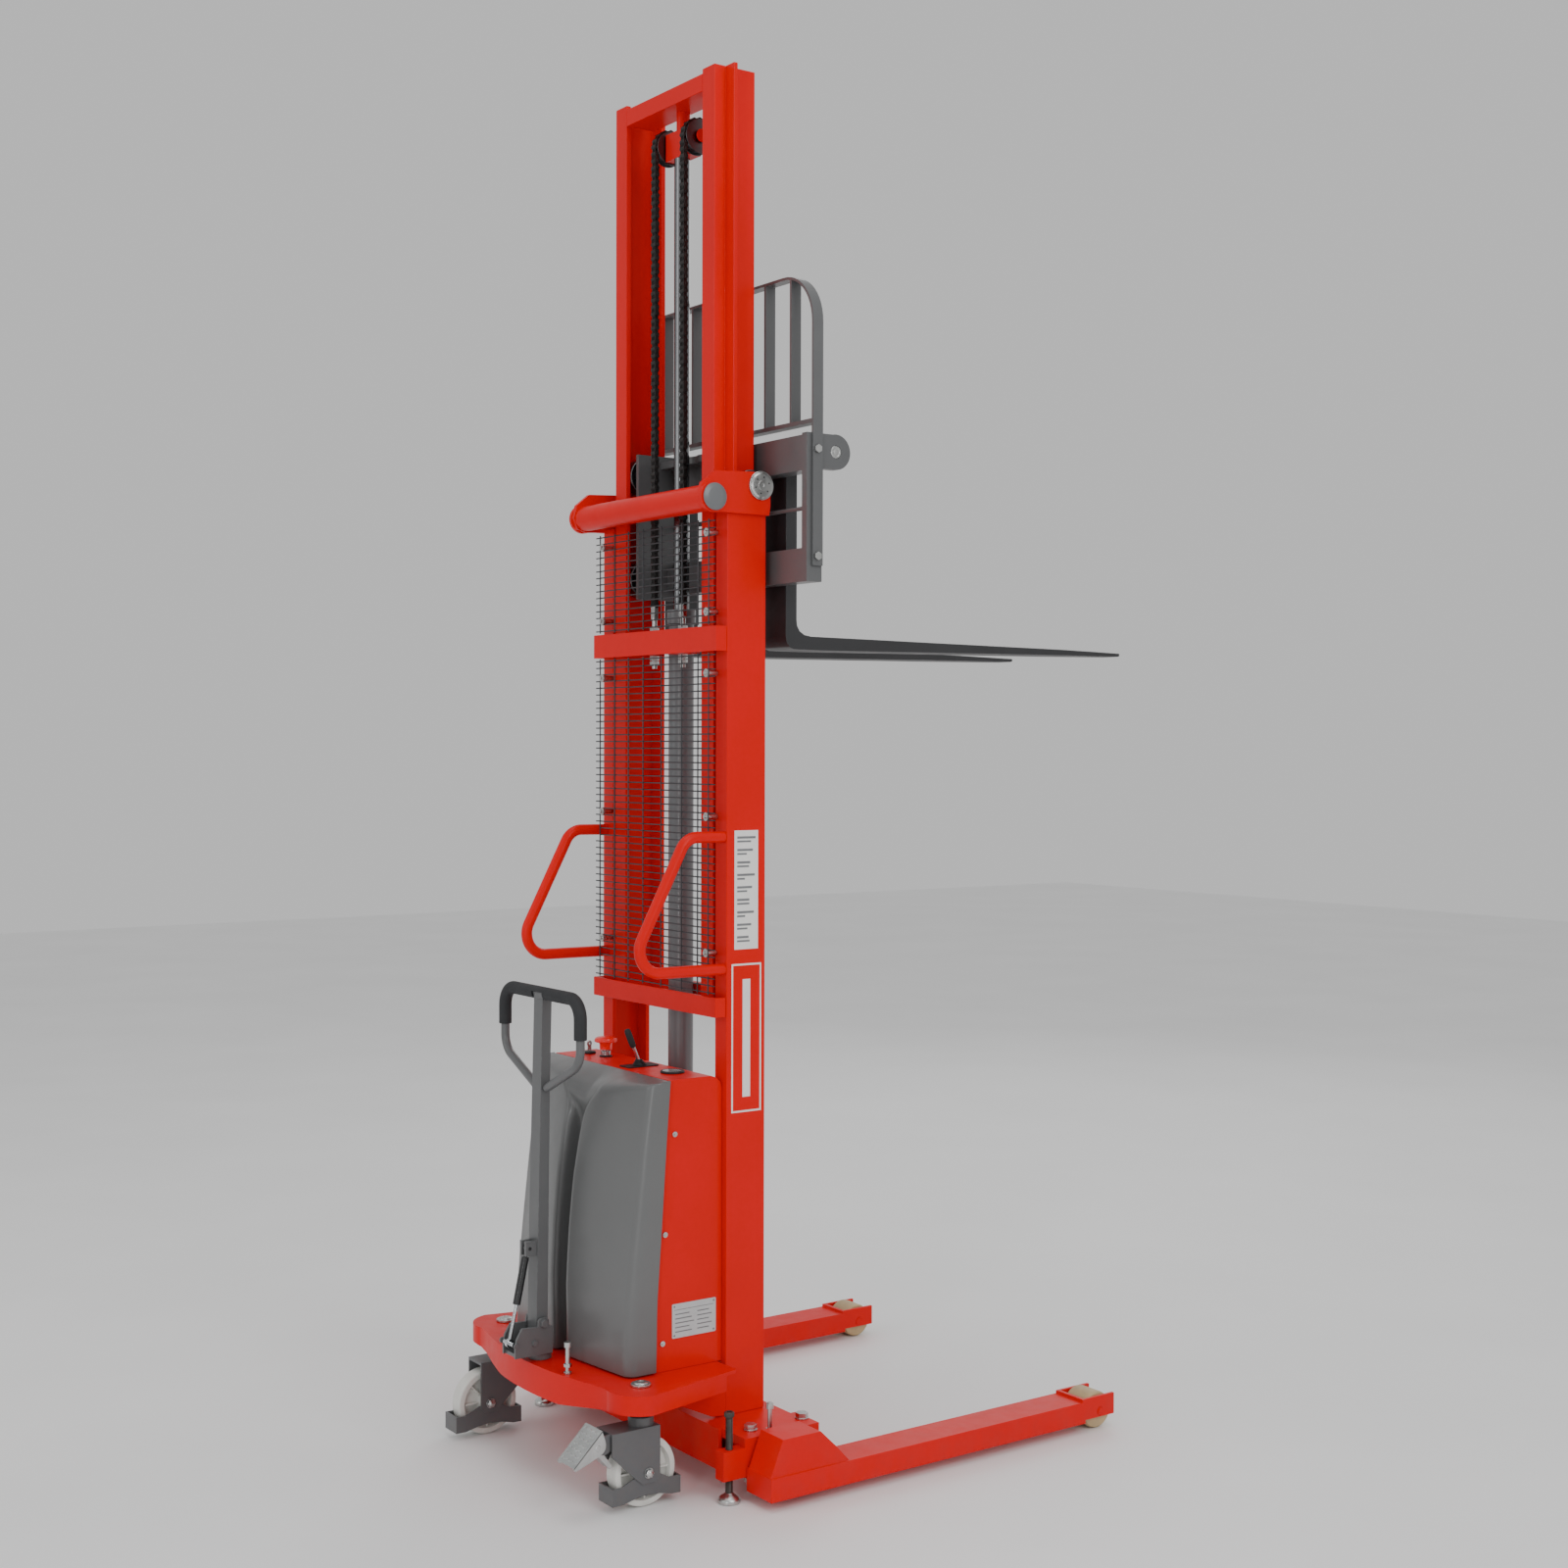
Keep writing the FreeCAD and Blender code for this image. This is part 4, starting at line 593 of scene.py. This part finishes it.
cap = stop_cap()
neck = lathe([(866 - 902, 0), (866 - 902, 6.9), (890 - 902, 6.9), (890 - 902, 10.5), (893 - 902, 12.2), (-4.0, 12.2), (-3.4, 14.0), (-0.1, 14.0), (-0.1, 0)], (-127, -72, 902), "z", 40)
piece("stop_button_neck", neck, "steel", "stop_button")
collar = lathe([(-17.5, 11.6), (-17.5, 13.0), (-16.6, 13.8), (-5.0, 14.2), (-1.2, 16.5), (-0.1, 18.0), (-0.1, 11.6)], (-127, -72, 902), "z", 44, closed=True)
piece("stop_button_collar", collar, "stop", "stop_button")
for i in range(18):
    an = 2 * math.pi * i / 18
    c, s = math.cos(an), math.sin(an)
    cap.merge(lathe([(0.6, 0), (0.6, 0.9), (6.6, 0.9), (6.6, 0)], (-127 + 25.1 * c, -72 + 25.1 * s, 902), "z", 8))
piece("stop_button_cap", cap, "stop", "stop_button", replaces=["e_stop_button"])

fit = Mesh()
fit.merge(lathe([(0, 7.1), (0, 14.6), (1.6, 14.8), (2.8, 13.8), (3.0, 7.1)], (-127, -72, 868.2), "z", 40, closed=True))
sleeve = lathe([(3.1, 7.1), (3.1, 10.6), (3.6, 11.0), (13.4, 11.0), (14.0, 10.4), (14.2, 7.1)], (-127, -72, 868.2), "z", 48, closed=True)
piece("stop_button_sleeve", sleeve, "steel", "root")
fit.merge(lathe([(0, 23.5), (0, 26.4), (2.4, 26.8), (4.6, 25.4), (4.8, 22.0), (1.4, 20.6), (1.4, 0), (0.0, 0)], (158, -72, 868.2), "z", 56))
fit.merge(lathe([(-0.1, 4.1), (-0.1, 14.5), (2.6, 14.8), (5.2, 13.0), (5.4, 4.1)], (-191, -78, 868.2), "z", 40, closed=True))
fit.merge(prism([(14, -118), (18, -122), (54, -122), (58, -118), (58, -46), (54, -42), (18, -42), (14, -46)], "z", 868.2, 870.2))
for i in range(5):
    z0 = 870.2 + i * 2.6
    w = 15.0 - i * 2.0
    fit.merge(lathe([(0, 0), (0, w), (1.3, w + 1.0), (2.6, w), (2.6, 0)], (36, -81 - i * 0.6, z0), "z", 32))
piece("panel_bezels", fit, "black", "root", replaces=["panel_fittings"], bevel=0.0)
dial = lathe([(0, 0), (0, 20.2), (0.5, 20.2), (0.5, 0)], (158, -72, 870.0), "z", 40)
piece("gauge_dial", dial, "sticker", "root")
marks = Mesh()
for i in range(11):
    an = math.radians(210 - 24 * i)
    a, b = 15.5, 19.0
    c, s = math.cos(an), math.sin(an)
    px, py = -s * 0.5, c * 0.5
    marks.merge(prism([(158 + a * c - px, -72 + a * s - py), (158 + b * c - px, -72 + b * s - py), (158 + b * c + px, -72 + b * s + py), (158 + a * c + px, -72 + a * s + py)], "z", 870.5, 870.8))
marks.merge(prism([(157.2, -74), (158.8, -74), (163.5, -59), (162.6, -58.6)], "z", 870.6, 871.2))
marks.merge(lathe([(0, 0), (0, 3), (1.2, 2.4), (1.2, 0)], (158, -72, 870.5), "z", 20))
piece("gauge_marks", marks, "black", "root")
piece("gauge_glass", lathe([(0, 0), (0, 21.8), (0.8, 21.6), (1.6, 0)], (158, -72, 872.0), "z", 48), "glass", "root")
key = Mesh()
key.merge(lathe([(-6, 0), (-6, 3.8), (6.5, 3.8), (6.5, 0)], (-191, -78, 870), "z", 20))
key.merge(block(-192.2, -189.8, -83, -73, 875, 886))
key.merge(lathe([(-1.3, 1.6), (-1.3, 6.2), (-0.9, 6.8), (0.9, 6.8), (1.3, 6.2), (1.3, 1.6)], (-191, -78, 891), "x", 32, closed=True))
piece("key_blade", key, "zinc", "key", replaces=["switch_key"], bevel=0.4)
lev = Mesh()
path = route([(36, -80, 856), (36, -84, 880), (36, -112, 946)], [30])
lev.merge(sweep(path, 4.0, 16))
lev.merge(lathe([(-5, 0), (-5, 8.8), (5, 8.8), (5, 0)], (36, -80, 852), "x", 24))
piece("lever_stem", lev, "chrome", "lever", replaces=["lift_lever"])
d = Vector((0, -28, 66)).normalized()
knob = lathe([(-1, 0), (-1, 5.4), (1.0, 6.6), (12, 7.4), (30, 7.5), (38, 7.0), (42.5, 5.2), (44, 0)], (36, -97.5, 912), tuple(d), 28)
piece("lever_grip", knob, "rubber", "lever")

# ------------------------------------------------------------------ name plate: blank, with rivets and plain etched rules
plate = Mesh()
plate.merge(prism([(-128, 316), (-126, 314), (-18, 314), (-16, 316), (-16, 386), (-18, 388), (-126, 388), (-128, 386)], "x", 245.2, 246.3))
piece("blank_rating_plate", plate, "plate", "root", replaces=["name_plate"], bevel=0.25)
rule = Mesh()
rule.merge(block(246.35, 246.6, -122, -22, 374, 375.2))
for r in range(5):
    z = 364 - r * 9.4
    rule.merge(block(246.35, 246.6, -120, -84 + (r % 3) * 6, z, z + 2.4))
    rule.merge(block(246.35, 246.6, -64, -34 + (r % 2) * 7, z, z + 2.4))
for (y, z) in ((-122, 382), (-22, 382), (-122, 320), (-22, 320)):
    rule.merge(lathe([(0, 0), (0, 2.3), (0.8, 1.9), (1.3, 0)], (246.3, y, z), "x", 16))
piece("rating_plate_rules", rule, "print", "root")

# plain vinyl on the mast: a blank label and an empty frame
vin = Mesh()
vin.merge(block(261.15, 261.4, 20, 82, 1139, 1397))
piece("blank_label", vin, "sticker", "root", bevel=0.0)
bars = Mesh()
for i in range(9):
    z = 1384 - i * 27
    bars.merge(block(261.45, 261.6, 27, 75 - (i * 7) % 19, z - 5, z))
    bars.merge(block(261.45, 261.6, 27, 63 - (i * 11) % 17, z - 13, z - 9))
piece("label_rules", bars, "print", "root")
fr = Mesh()
for (y0, y1, z0, z1) in ((13, 91, 1104, 1108), (13, 91, 785, 789), (13, 17, 789, 1104), (87, 91, 789, 1104)):
    fr.merge(block(261.15, 261.4, y0, y1, z0, z1))
fr.merge(block(261.15, 261.4, 42, 62, 818, 1074))
piece("mast_stripe", fr, "sticker", "root")

# ------------------------------------------------------------------ caster wheels
def caster_wheel(cx, cy, cz):
    me = Mesh()
    prof = [(-23, 6.5), (-23, 14), (-22, 15.5), (-16, 21), (-9.5, 24), (-7.5, 30), (-7.5, 50), (-9, 55), (-15, 58.5), (-19.5, 60), (-19.8, 68.5), (-18.5, 71.8), (-15, 73.3), (-8, 73.5),
            (8, 73.5), (15, 73.3), (18.5, 71.8), (19.8, 68.5), (19.5, 60), (15, 58.5), (9, 55), (7.5, 50), (7.5, 30), (9.5, 24), (16, 21), (22, 15.5), (23, 14), (23, 6.5)]
    me.merge(lathe(prof, (cx, cy, cz), "x", 72, closed=True))
    for i in range(8):
        an = 2 * math.pi * i / 8
        c, s = math.cos(an), math.sin(an)
        px, py = -s * 2.0, c * 2.0
        for sx in (1, -1):
            poly = [(cy + 21 * c - px, cz + 21 * s - py), (cy + 57 * c - px, cz + 57 * s - py), (cy + 57 * c + px, cz + 57 * s + py), (cy + 21 * c + px, cz + 21 * s + py)]
            me.merge(prism(poly, "x", cx + (6.8 if sx > 0 else -14.5), cx + (14.5 if sx > 0 else -6.8)))
    return me


def bearing(cx, cy, cz, half, r_in, r_out):
    me = Mesh()
    for sx in (1, -1):
        a = sx * half
        me.merge(lathe([(a - sx * 2, r_in), (a - sx * 2, r_out), (a, r_out), (a + sx * 0.3, r_out - 2), (a - sx * 0.6, r_out - 2.6), (a - sx * 0.6, r_in + 3), (a + sx * 0.3, r_in + 2.4), (a + sx * 0.3, r_in)], (cx, cy, cz), "x", 40, closed=True))
    return me


for side, cx, cy in (("right", 299.0, -238.0), ("left", -299.0, -293.0)):
    piece("nylon_wheel_" + side, caster_wheel(cx, cy, 73.5), "nylon", side + "_wheel", replaces=["caster_wheel_" + side], angle=30)
    piece("wheel_bearing_" + side, bearing(cx, cy, 73.5, 23.2, 6.6, 13.5), "steel", side + "_wheel")
for side, sx in (("right", 1), ("left", -1)):
    cx = sx * 458.5
    me = lathe([(-35, 15.5), (-35, 36), (-34, 39.5), (-31, 41.4), (-27, 42), (27, 42), (31, 41.4), (34, 39.5), (35, 36), (35, 15.5)], (cx, 882, 42), "x", 64, closed=True)
    piece("load_roller_" + side, me, "pu", side + "_load_wheel", replaces=["load_wheel_" + side])
    me = Mesh()
    for k in (1, -1):
        me.merge(lathe([(k * 35.2, 10.3), (k * 35.2, 15.4), (k * 30, 15.4), (k * 30, 10.3)], (cx, 882, 42), "x", 40, closed=True))
        me.merge(lathe([(k * 34.2, 16), (k * 34.6, 30), (k * 34.8, 33), (k * 34.0, 33), (k * 33.4, 16)], (cx, 882, 42), "x", 48, closed=True))
    piece("load_roller_hub_" + side, me, "roller", side + "_load_wheel")

# ------------------------------------------------------------------ jack screws with rolled thread and a swivel foot
for side, sx in (("right", 1), ("left", -1)):
    me = Mesh()
    x, y = sx * 397, -82
    foot = lathe([(0, 0), (0, 23.0), (1.0, 24), (7.0, 24), (9.0, 23.2), (12.5, 19.6), (15.5, 15.2), (18.0, 11.2), (19.6, 9.2), (20.7, 8.2), (20.7, 0)], (x, y, 0), "z", 56)
    piece("jack_foot_bell_" + side, foot, "zinc", side + "_jack")
    me.merge(thread((x, y, 21), "z", 7.95, 158, 2.2))
    me.merge(lathe([(0, 0), (0, 9.4), (1.0, 10.3), (10.0, 10.3), (11.0, 9.4), (11.0, 5.6), (6.0, 5.2), (6.0, 0)], (x, y, 179), "z", 40))
    for i in range(20):
        an = 2 * math.pi * i / 20
        me.merge(lathe([(1.6, 0), (1.6, 0.75), (9.4, 0.75), (9.4, 0)], (x + 10.2 * math.cos(an), y + 10.2 * math.sin(an), 179), "z", 6))
    piece("jack_thread_" + side, me, "screw", side + "_jack", replaces=["jack_screw_" + side])

# ------------------------------------------------------------------ pin heads and caps at the mast top, king pin caps on the deck
for side, sx in (("right", 1), ("left", -1)):
    ax = (sx, 0, 0)
    disc = lathe([(0, 0), (0, 31.3), (3.6, 31.3), (4.4, 30.4), (4.4, 27.9), (7.4, 24.6), (7.6, 11.0), (8.2, 10.2), (8.2, 4.0), (7.4, 3.2), (7.4, 0)], (sx * 273.3, 78, 2143), ax, 56)
    piece("top_pin_head_" + side, disc, "zinc", "root")
    # Black discs on the pin head's face stand in for its six holes: painted shade of the hole insides, as the pin head
    # itself has no holes.
    hole_shade_discs = Mesh()
    for i in range(6):
        an = 2 * math.pi * i / 6 + 0.3
        hole_shade_discs.merge(lathe([(0, 0), (0, 1.9), (0.5, 1.6), (0.6, 0)], (sx * 280.7, 78 + 18 * math.cos(an), 2143 + 18 * math.sin(an)), ax, 14))
    piece("top_pin_holes_" + side, hole_shade_discs, "black", "root")
    lid = lathe([(0, 0), (0, 28.7), (0.5, 29.3), (2.2, 29.3), (2.8, 28.6), (3.0, 26.9), (5.6, 20.6), (5.9, 18), (5.9, 0)], (sx * 284.05, -48, 2110), ax, 56)
    piece("top_tube_lid_" + side, lid, "cylinder", "root")
    crown = lathe([(0, 0), (0, 20.6), (0.8, 21.2), (4.6, 21.2), (5.4, 20.4), (5.8, 15.2), (7.4, 14.4), (8.6, 12.6), (8.9, 6.4), (8.0, 5.6), (8.0, 0)], (sx * 299, -238, 247.45), "z", 56)
    piece("king_pin_cap_" + side, crown, "zinc", side + "_caster")

# ------------------------------------------------------------------ ends of the fork bar in the carriage ears
ends = Mesh()
for k in (1, -1):
    ends.merge(lathe([(0, 0), (0, 13.6), (1.4, 13.6), (2.4, 12.6), (2.4, 9.4), (1.6, 8.6), (1.6, 0)], (k * 381.9, 199, 2213), (k, 0, 0), 48))
    ends.merge(lathe([(0, 0), (0, 5.4), (1.0, 5.0), (1.6, 0)], (k * 383.2, 199, 2213), (k, 0, 0), 24))
piece("fork_bar_ends", ends, "zinc", "carriage")

# ------------------------------------------------------------------ axle nuts of the casters: flange, hexagon and rounded crown
for side, cx, cy in (("right", 299.0, -238.0), ("left", -299.0, -293.0)):
    nuts = Mesh()
    for k in (1, -1):
        nuts.merge(lathe([(32.05, 0), (32.05, 10.6), (33.0, 11.2), (33.8, 11.0), (34.0, 0)], (cx, cy, 73.5), (k, 0, 0), 40) if k > 0 else lathe([(32.05, 0), (32.05, 10.6), (33.0, 11.2), (33.8, 11.0), (34.0, 0)], (cx, cy, 73.5), (-1, 0, 0), 40))
        nuts.merge(hexa((cx + (33.9 if k > 0 else -38.9), cy, 73.5), "x", 17, 5))
        nuts.merge(lathe([(38.0, 0), (38.0, 7.2), (39.6, 6.6), (41.2, 4.6), (42.0, 0)], (cx, cy, 73.5), (k, 0, 0), 32))
    piece("axle_nuts_" + side, nuts, "zinc", side + "_caster")

# ------------------------------------------------------------------ steering chain round the three sprockets
def hull(circles, extra):
    pts = []
    for (x, y, r) in circles:
        for k in range(96):
            an = 2 * math.pi * k / 96
            pts.append((x + (r + extra) * math.cos(an), y + (r + extra) * math.sin(an)))
    pts.sort()

    def turn(o_, a, b):
        return (a[0] - o_[0]) * (b[1] - o_[1]) - (a[1] - o_[1]) * (b[0] - o_[0])
    out = []
    for seq in (pts, list(reversed(pts))):
        part = []
        for p in seq:
            while len(part) > 1 and turn(part[-2], part[-1], p) <= 1e-9:
                part.pop()
            part.append(p)
        out += part[:-1]
    return out


loop = hull([(0, -312, 26.2), (299, -238, 38.8), (-299, -238, 38.8)], 2.5)
loop.append(loop[0])
seglen = [math.dist(a, b) for a, b in zip(loop, loop[1:])]
total = sum(seglen)
count = int(round(total / 12.7 / 2)) * 2
cum = np.concatenate([[0], np.cumsum(seglen)])
lx = np.array([p[0] for p in loop])
ly = np.array([p[1] for p in loop])
ts = [total * i / count for i in range(count + 1)]
pts = [(float(np.interp(t, cum, lx)), float(np.interp(t, cum, ly)), 201.0) for t in ts]
me = chain(pts, (0, 0, 1), (-3.4, 3.4), (-2.2, 2.2), 1.0, 2.6, 2.0, 1.3, 4.0, roller=(2.1, 1.6), ends=(True, False))
piece("steering_chain_links", me, "chain", "root", replaces=["steering_chain"], recalc=False)

# ------------------------------------------------------------------ brake pedal with pressed treads
ped = Mesh()
KX, KY = 299.0, -238.0
top = Vector((0, KY - 112, 183))
bot = Vector((0, KY - 179, 118))
dv = (bot - top).normalized()
nv = Vector((0, dv.z, -dv.y))
if nv.z < 0:
    nv = -nv
Lp = (bot - top).length


def pedal_pt(x, s, h_):
    q = top + dv * s + nv * h_
    return (x, q.y, q.z)


def slab(x0, x1, s0, s1, h0, h1):
    v = [pedal_pt(x, s, h_) for h_ in (h0, h1) for (x, s) in ((x0, s0), (x1, s0), (x1, s1), (x0, s1))]
    return Mesh().add(v, [(0, 1, 2, 3), (7, 6, 5, 4), (0, 4, 5, 1), (1, 5, 6, 2), (2, 6, 7, 3), (3, 7, 4, 0)])


ped.merge(slab(KX - 33, KX + 33, 0.5, Lp, -3.0, 0.0))
ear_pts = catmull([(KY - 179, 116.5), (KY - 177, 112.5), (KY - 172, 111.5), (KY - 150, 119), (KY - 128, 127.5), (KY - 113, 134), (KY - 105, 143), (KY - 103.5, 154), (KY - 107, 168), (KY - 112, 182)], 4)
for sx in (1, -1):
    x0 = KX + 29.8 if sx > 0 else KX - 33
    ped.merge(prism([tuple(map(float, q)) for q in ear_pts], "x", x0, x0 + 3.2))
ped.merge(prism([(KY - 122, 154), (KY - 113, 148), (KY - 84, 106), (KY - 78, 98), (KY - 85, 94), (KY - 128, 142)], "x", KX - 16, KX + 16))
ped.merge(lathe([(-34.6, 0), (-34.6, 5.0), (-33.2, 6.2), (-33.0, 6.2), (-33.0, 3.9), (33.0, 3.9), (33.0, 6.2), (33.2, 6.2), (34.6, 5.0), (34.6, 0)], (KX, KY - 122, 148), "x", 28))
for i in range(7):
    for j in range(7):
        s = 10 + j * 12.2
        x = KX - 26 + i * 8.7 + (4.3 if j % 2 else 0)
        if x > KX + 29:
            continue
        a = math.radians(45 if (i + j) % 2 else -45)
        ca, sa = math.cos(a), math.sin(a)
        L2, W2 = 4.6, 1.3
        base = [(x + u * ca - w * sa, s + u * sa + w * ca) for u, w in ((-L2, 0), (0, -W2), (L2, 0), (0, W2))]
        v = [pedal_pt(bx, bs_, -0.1) for bx, bs_ in base] + [pedal_pt(x + (bx - x) * 0.62, s + (bs_ - s) * 0.62, 1.5) for bx, bs_ in base]
        ped.add(v, [(4, 5, 6, 7), (0, 1, 5, 4), (1, 2, 6, 5), (2, 3, 7, 6), (3, 0, 4, 7)])
piece("tread_pedal", ped, "emboss", "pedal", replaces=["brake_pedal"], bevel=0.5)


# ------------------------------------------------------------------ carried-over nodes with real rounded edges
BODY_OF = {}
for bname, held in frame["record"]["behaviour"]["bodies"].items():
    for nn in held:
        BODY_OF[nn] = bname


def soften(node, width, seg=2, angle=30.0, mat=None):
    """Copy of a node's mesh, each solid with its edges rounded, standing for the node."""
    src = NODES[node]
    bm = bmesh.new()
    bm.from_mesh(src.data)
    bmesh.ops.remove_doubles(bm, verts=bm.verts, dist=2e-5)
    if not node.startswith("straddle_leg"):
        bmesh.ops.dissolve_limit(bm, angle_limit=math.radians(0.6), verts=bm.verts, edges=bm.edges)
    bm.faces.ensure_lookup_table()
    left = set(bm.faces)
    parts = []
    while left:
        f = next(iter(left))
        stack, comp = [f], set()
        while stack:
            g = stack.pop()
            if g in comp:
                continue
            comp.add(g)
            for e in g.edges:
                for k in e.link_faces:
                    if k not in comp:
                        stack.append(k)
        left -= comp
        parts.append(comp)
    index = {}
    for i, comp in enumerate(parts):
        for f in comp:
            index[f.index] = i
    out = bmesh.new()
    for i, comp in enumerate(parts):
        one = bmesh.new()
        vm = {}
        for f in comp:
            for v in f.verts:
                if v not in vm:
                    vm[v] = one.verts.new(v.co)
        for f in comp:
            try:
                one.faces.new([vm[v] for v in f.verts])
            except ValueError:
                pass
        one.normal_update()
        edges = [e for e in one.edges if len(e.link_faces) == 2 and e.calc_face_angle(0.0) > math.radians(angle)]
        if edges and width:
            bmesh.ops.bevel(one, geom=edges, offset=width / 1000.0, offset_type="OFFSET", segments=seg, profile=0.5, affect="EDGES", clamp_overlap=True)
        tmp = bpy.data.meshes.new("tmp")
        one.to_mesh(tmp)
        one.free()
        out.from_mesh(tmp)
        bpy.data.meshes.remove(tmp)
    mesh = bpy.data.meshes.new(node + "_rounded")
    out.to_mesh(mesh)
    out.free()
    bm.free()
    mesh.polygons.foreach_set("use_smooth", [True] * len(mesh.polygons))
    mesh.set_sharp_from_angle(angle=math.radians(40))
    key = mat or CAD_MAT[node]
    mesh.materials.append(M[key])
    o = bpy.data.objects.new(node + "_rounded", mesh)
    bpy.context.scene.collection.objects.link(o)
    wn = o.modifiers.new("normals", "WEIGHTED_NORMAL")
    wn.keep_sharp = True
    wn.weight = 80
    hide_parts(node)
    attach(o, BODY_OF[node])
    return o


for node, width in (("outer_mast_columns", 2.2), ("mast_top_brackets", 1.6), ("mast_top_tube", 1.6), ("mast_cross_bars", 1.8), ("grab_handles", 0.8), ("chassis_crossmember", 1.8),
                    ("leg_clamps", 1.6), ("frame_bolts", 0.5), ("base_deck", 2.2), ("lift_cylinder", 0.9), ("piston_rod", 0.6), ("power_pack_housing", 2.6), ("cover_screws", 0.4),
                    ("inner_mast_columns", 2.0), ("inner_crossbars", 1.8), ("pulley_yoke", 1.8), ("chain_pulleys", 0.8), ("mast_guide_rollers", 0.9), ("top_guide_rollers", 0.9),
                    ("carriage_frame", 1.6), ("carriage_rods", 0.6), ("carriage_bolts", 0.5), ("carriage_rollers_upper", 0.9), ("carriage_rollers_lower", 0.9), ("load_backrest", 0.8),
                    ("fork_right", 2.0), ("fork_left", 2.0), ("straddle_leg_right", 2.0), ("straddle_leg_left", 2.0), ("steering_head", 1.2), ("tiller_arm", 2.0), ("tiller_handle", 0.6),
                    ("tiller_grip", 1.2), ("gas_spring_cylinder", 0.6), ("gas_spring_rod", 0.4), ("caster_fork_right", 1.2), ("caster_fork_left", 1.2), ("toe_guard_right", 1.4), ("toe_guard_left", 1.4), ("mesh_clips", 0.5)):
    soften(node, width)

# ------------------------------------------------------------------ camera, light and floor
cam_data = bpy.data.cameras.new("camera")
cam = bpy.data.objects.new("camera", cam_data)
bpy.context.scene.collection.objects.link(cam)
az, pitch, roll = math.radians(54.56), math.radians(-1.0), math.radians(0.15)
fwd = Vector((-math.sin(az) * math.cos(pitch), math.cos(az) * math.cos(pitch), math.sin(pitch)))
right = Vector((math.cos(az), math.sin(az), 0))
up = right.cross(fwd)
r2 = right * math.cos(roll) + up * math.sin(roll)
u2 = up * math.cos(roll) - right * math.sin(roll)
rot = Matrix((r2, u2, -fwd)).transposed().to_4x4()
cam.matrix_world = Matrix.Translation(P(3973, -2491, 1576)) @ rot
cam_data.sensor_width = 36.0
cam_data.lens = 2118.3 * 36.0 / 1600.0
cam_data.clip_end = 100.0
bpy.context.scene.camera = cam

floor_m, nt, bs = new_mat("studio_floor")
vec = coord(nt)
nt.links.new(ramp(nt, noise(nt, vec, 1.3, 3.0), [(0.3, (0.86, 0.86, 0.86)), (0.7, (0.90, 0.90, 0.90))]), bs.inputs["Base Color"])
bs.inputs["Roughness"].default_value = 0.6
fm = bpy.data.meshes.new("studio_floor")
S = 14.0
fm.from_pydata([(-S, -S, -0.0006), (S, -S, -0.0006), (S, S, -0.0006), (-S, S, -0.0006)], [], [(0, 1, 2, 3)])
fm.materials.append(floor_m)
fo = bpy.data.objects.new("studio_floor", fm)
bpy.context.scene.collection.objects.link(fo)

world = bpy.data.worlds.new("studio") if bpy.context.scene.world is None else bpy.context.scene.world
bpy.context.scene.world = world
world.use_nodes = True
bg = world.node_tree.nodes.get("Background") or world.node_tree.nodes.new("ShaderNodeBackground")
bg.inputs["Color"].default_value = (1.0, 1.0, 1.0, 1.0)
bg.inputs["Strength"].default_value = 0.63


def area(name, loc, target, size, power, size_y=None):
    L = bpy.data.lights.new(name, "AREA")
    L.shape = "RECTANGLE"
    L.size = size
    L.size_y = size_y or size
    L.energy = power
    ob = bpy.data.objects.new(name, L)
    bpy.context.scene.collection.objects.link(ob)
    ob.location = loc
    ob.rotation_euler = (Vector(target) - Vector(loc)).to_track_quat("-Z", "Y").to_euler()
    return ob


area("key", (5.4, -0.2, 4.4), (0, -0.2, 1.3), 2.6, 105, 3.8)
area("fill_rear", (-1.2, -5.4, 3.2), (0, -0.3, 1.3), 2.4, 36, 3.4)
area("edge_strip", (3.3, -4.9, 1.9), (0.2, -0.6, 0.9), 0.4, 34, 3.0)
area("rim_front", (-3.2, 4.2, 4.0), (0, 0, 1.6), 2.4, 45, 3.0)
area("top", (0.4, -0.6, 6.2), (0, 0, 1.0), 3.2, 60)
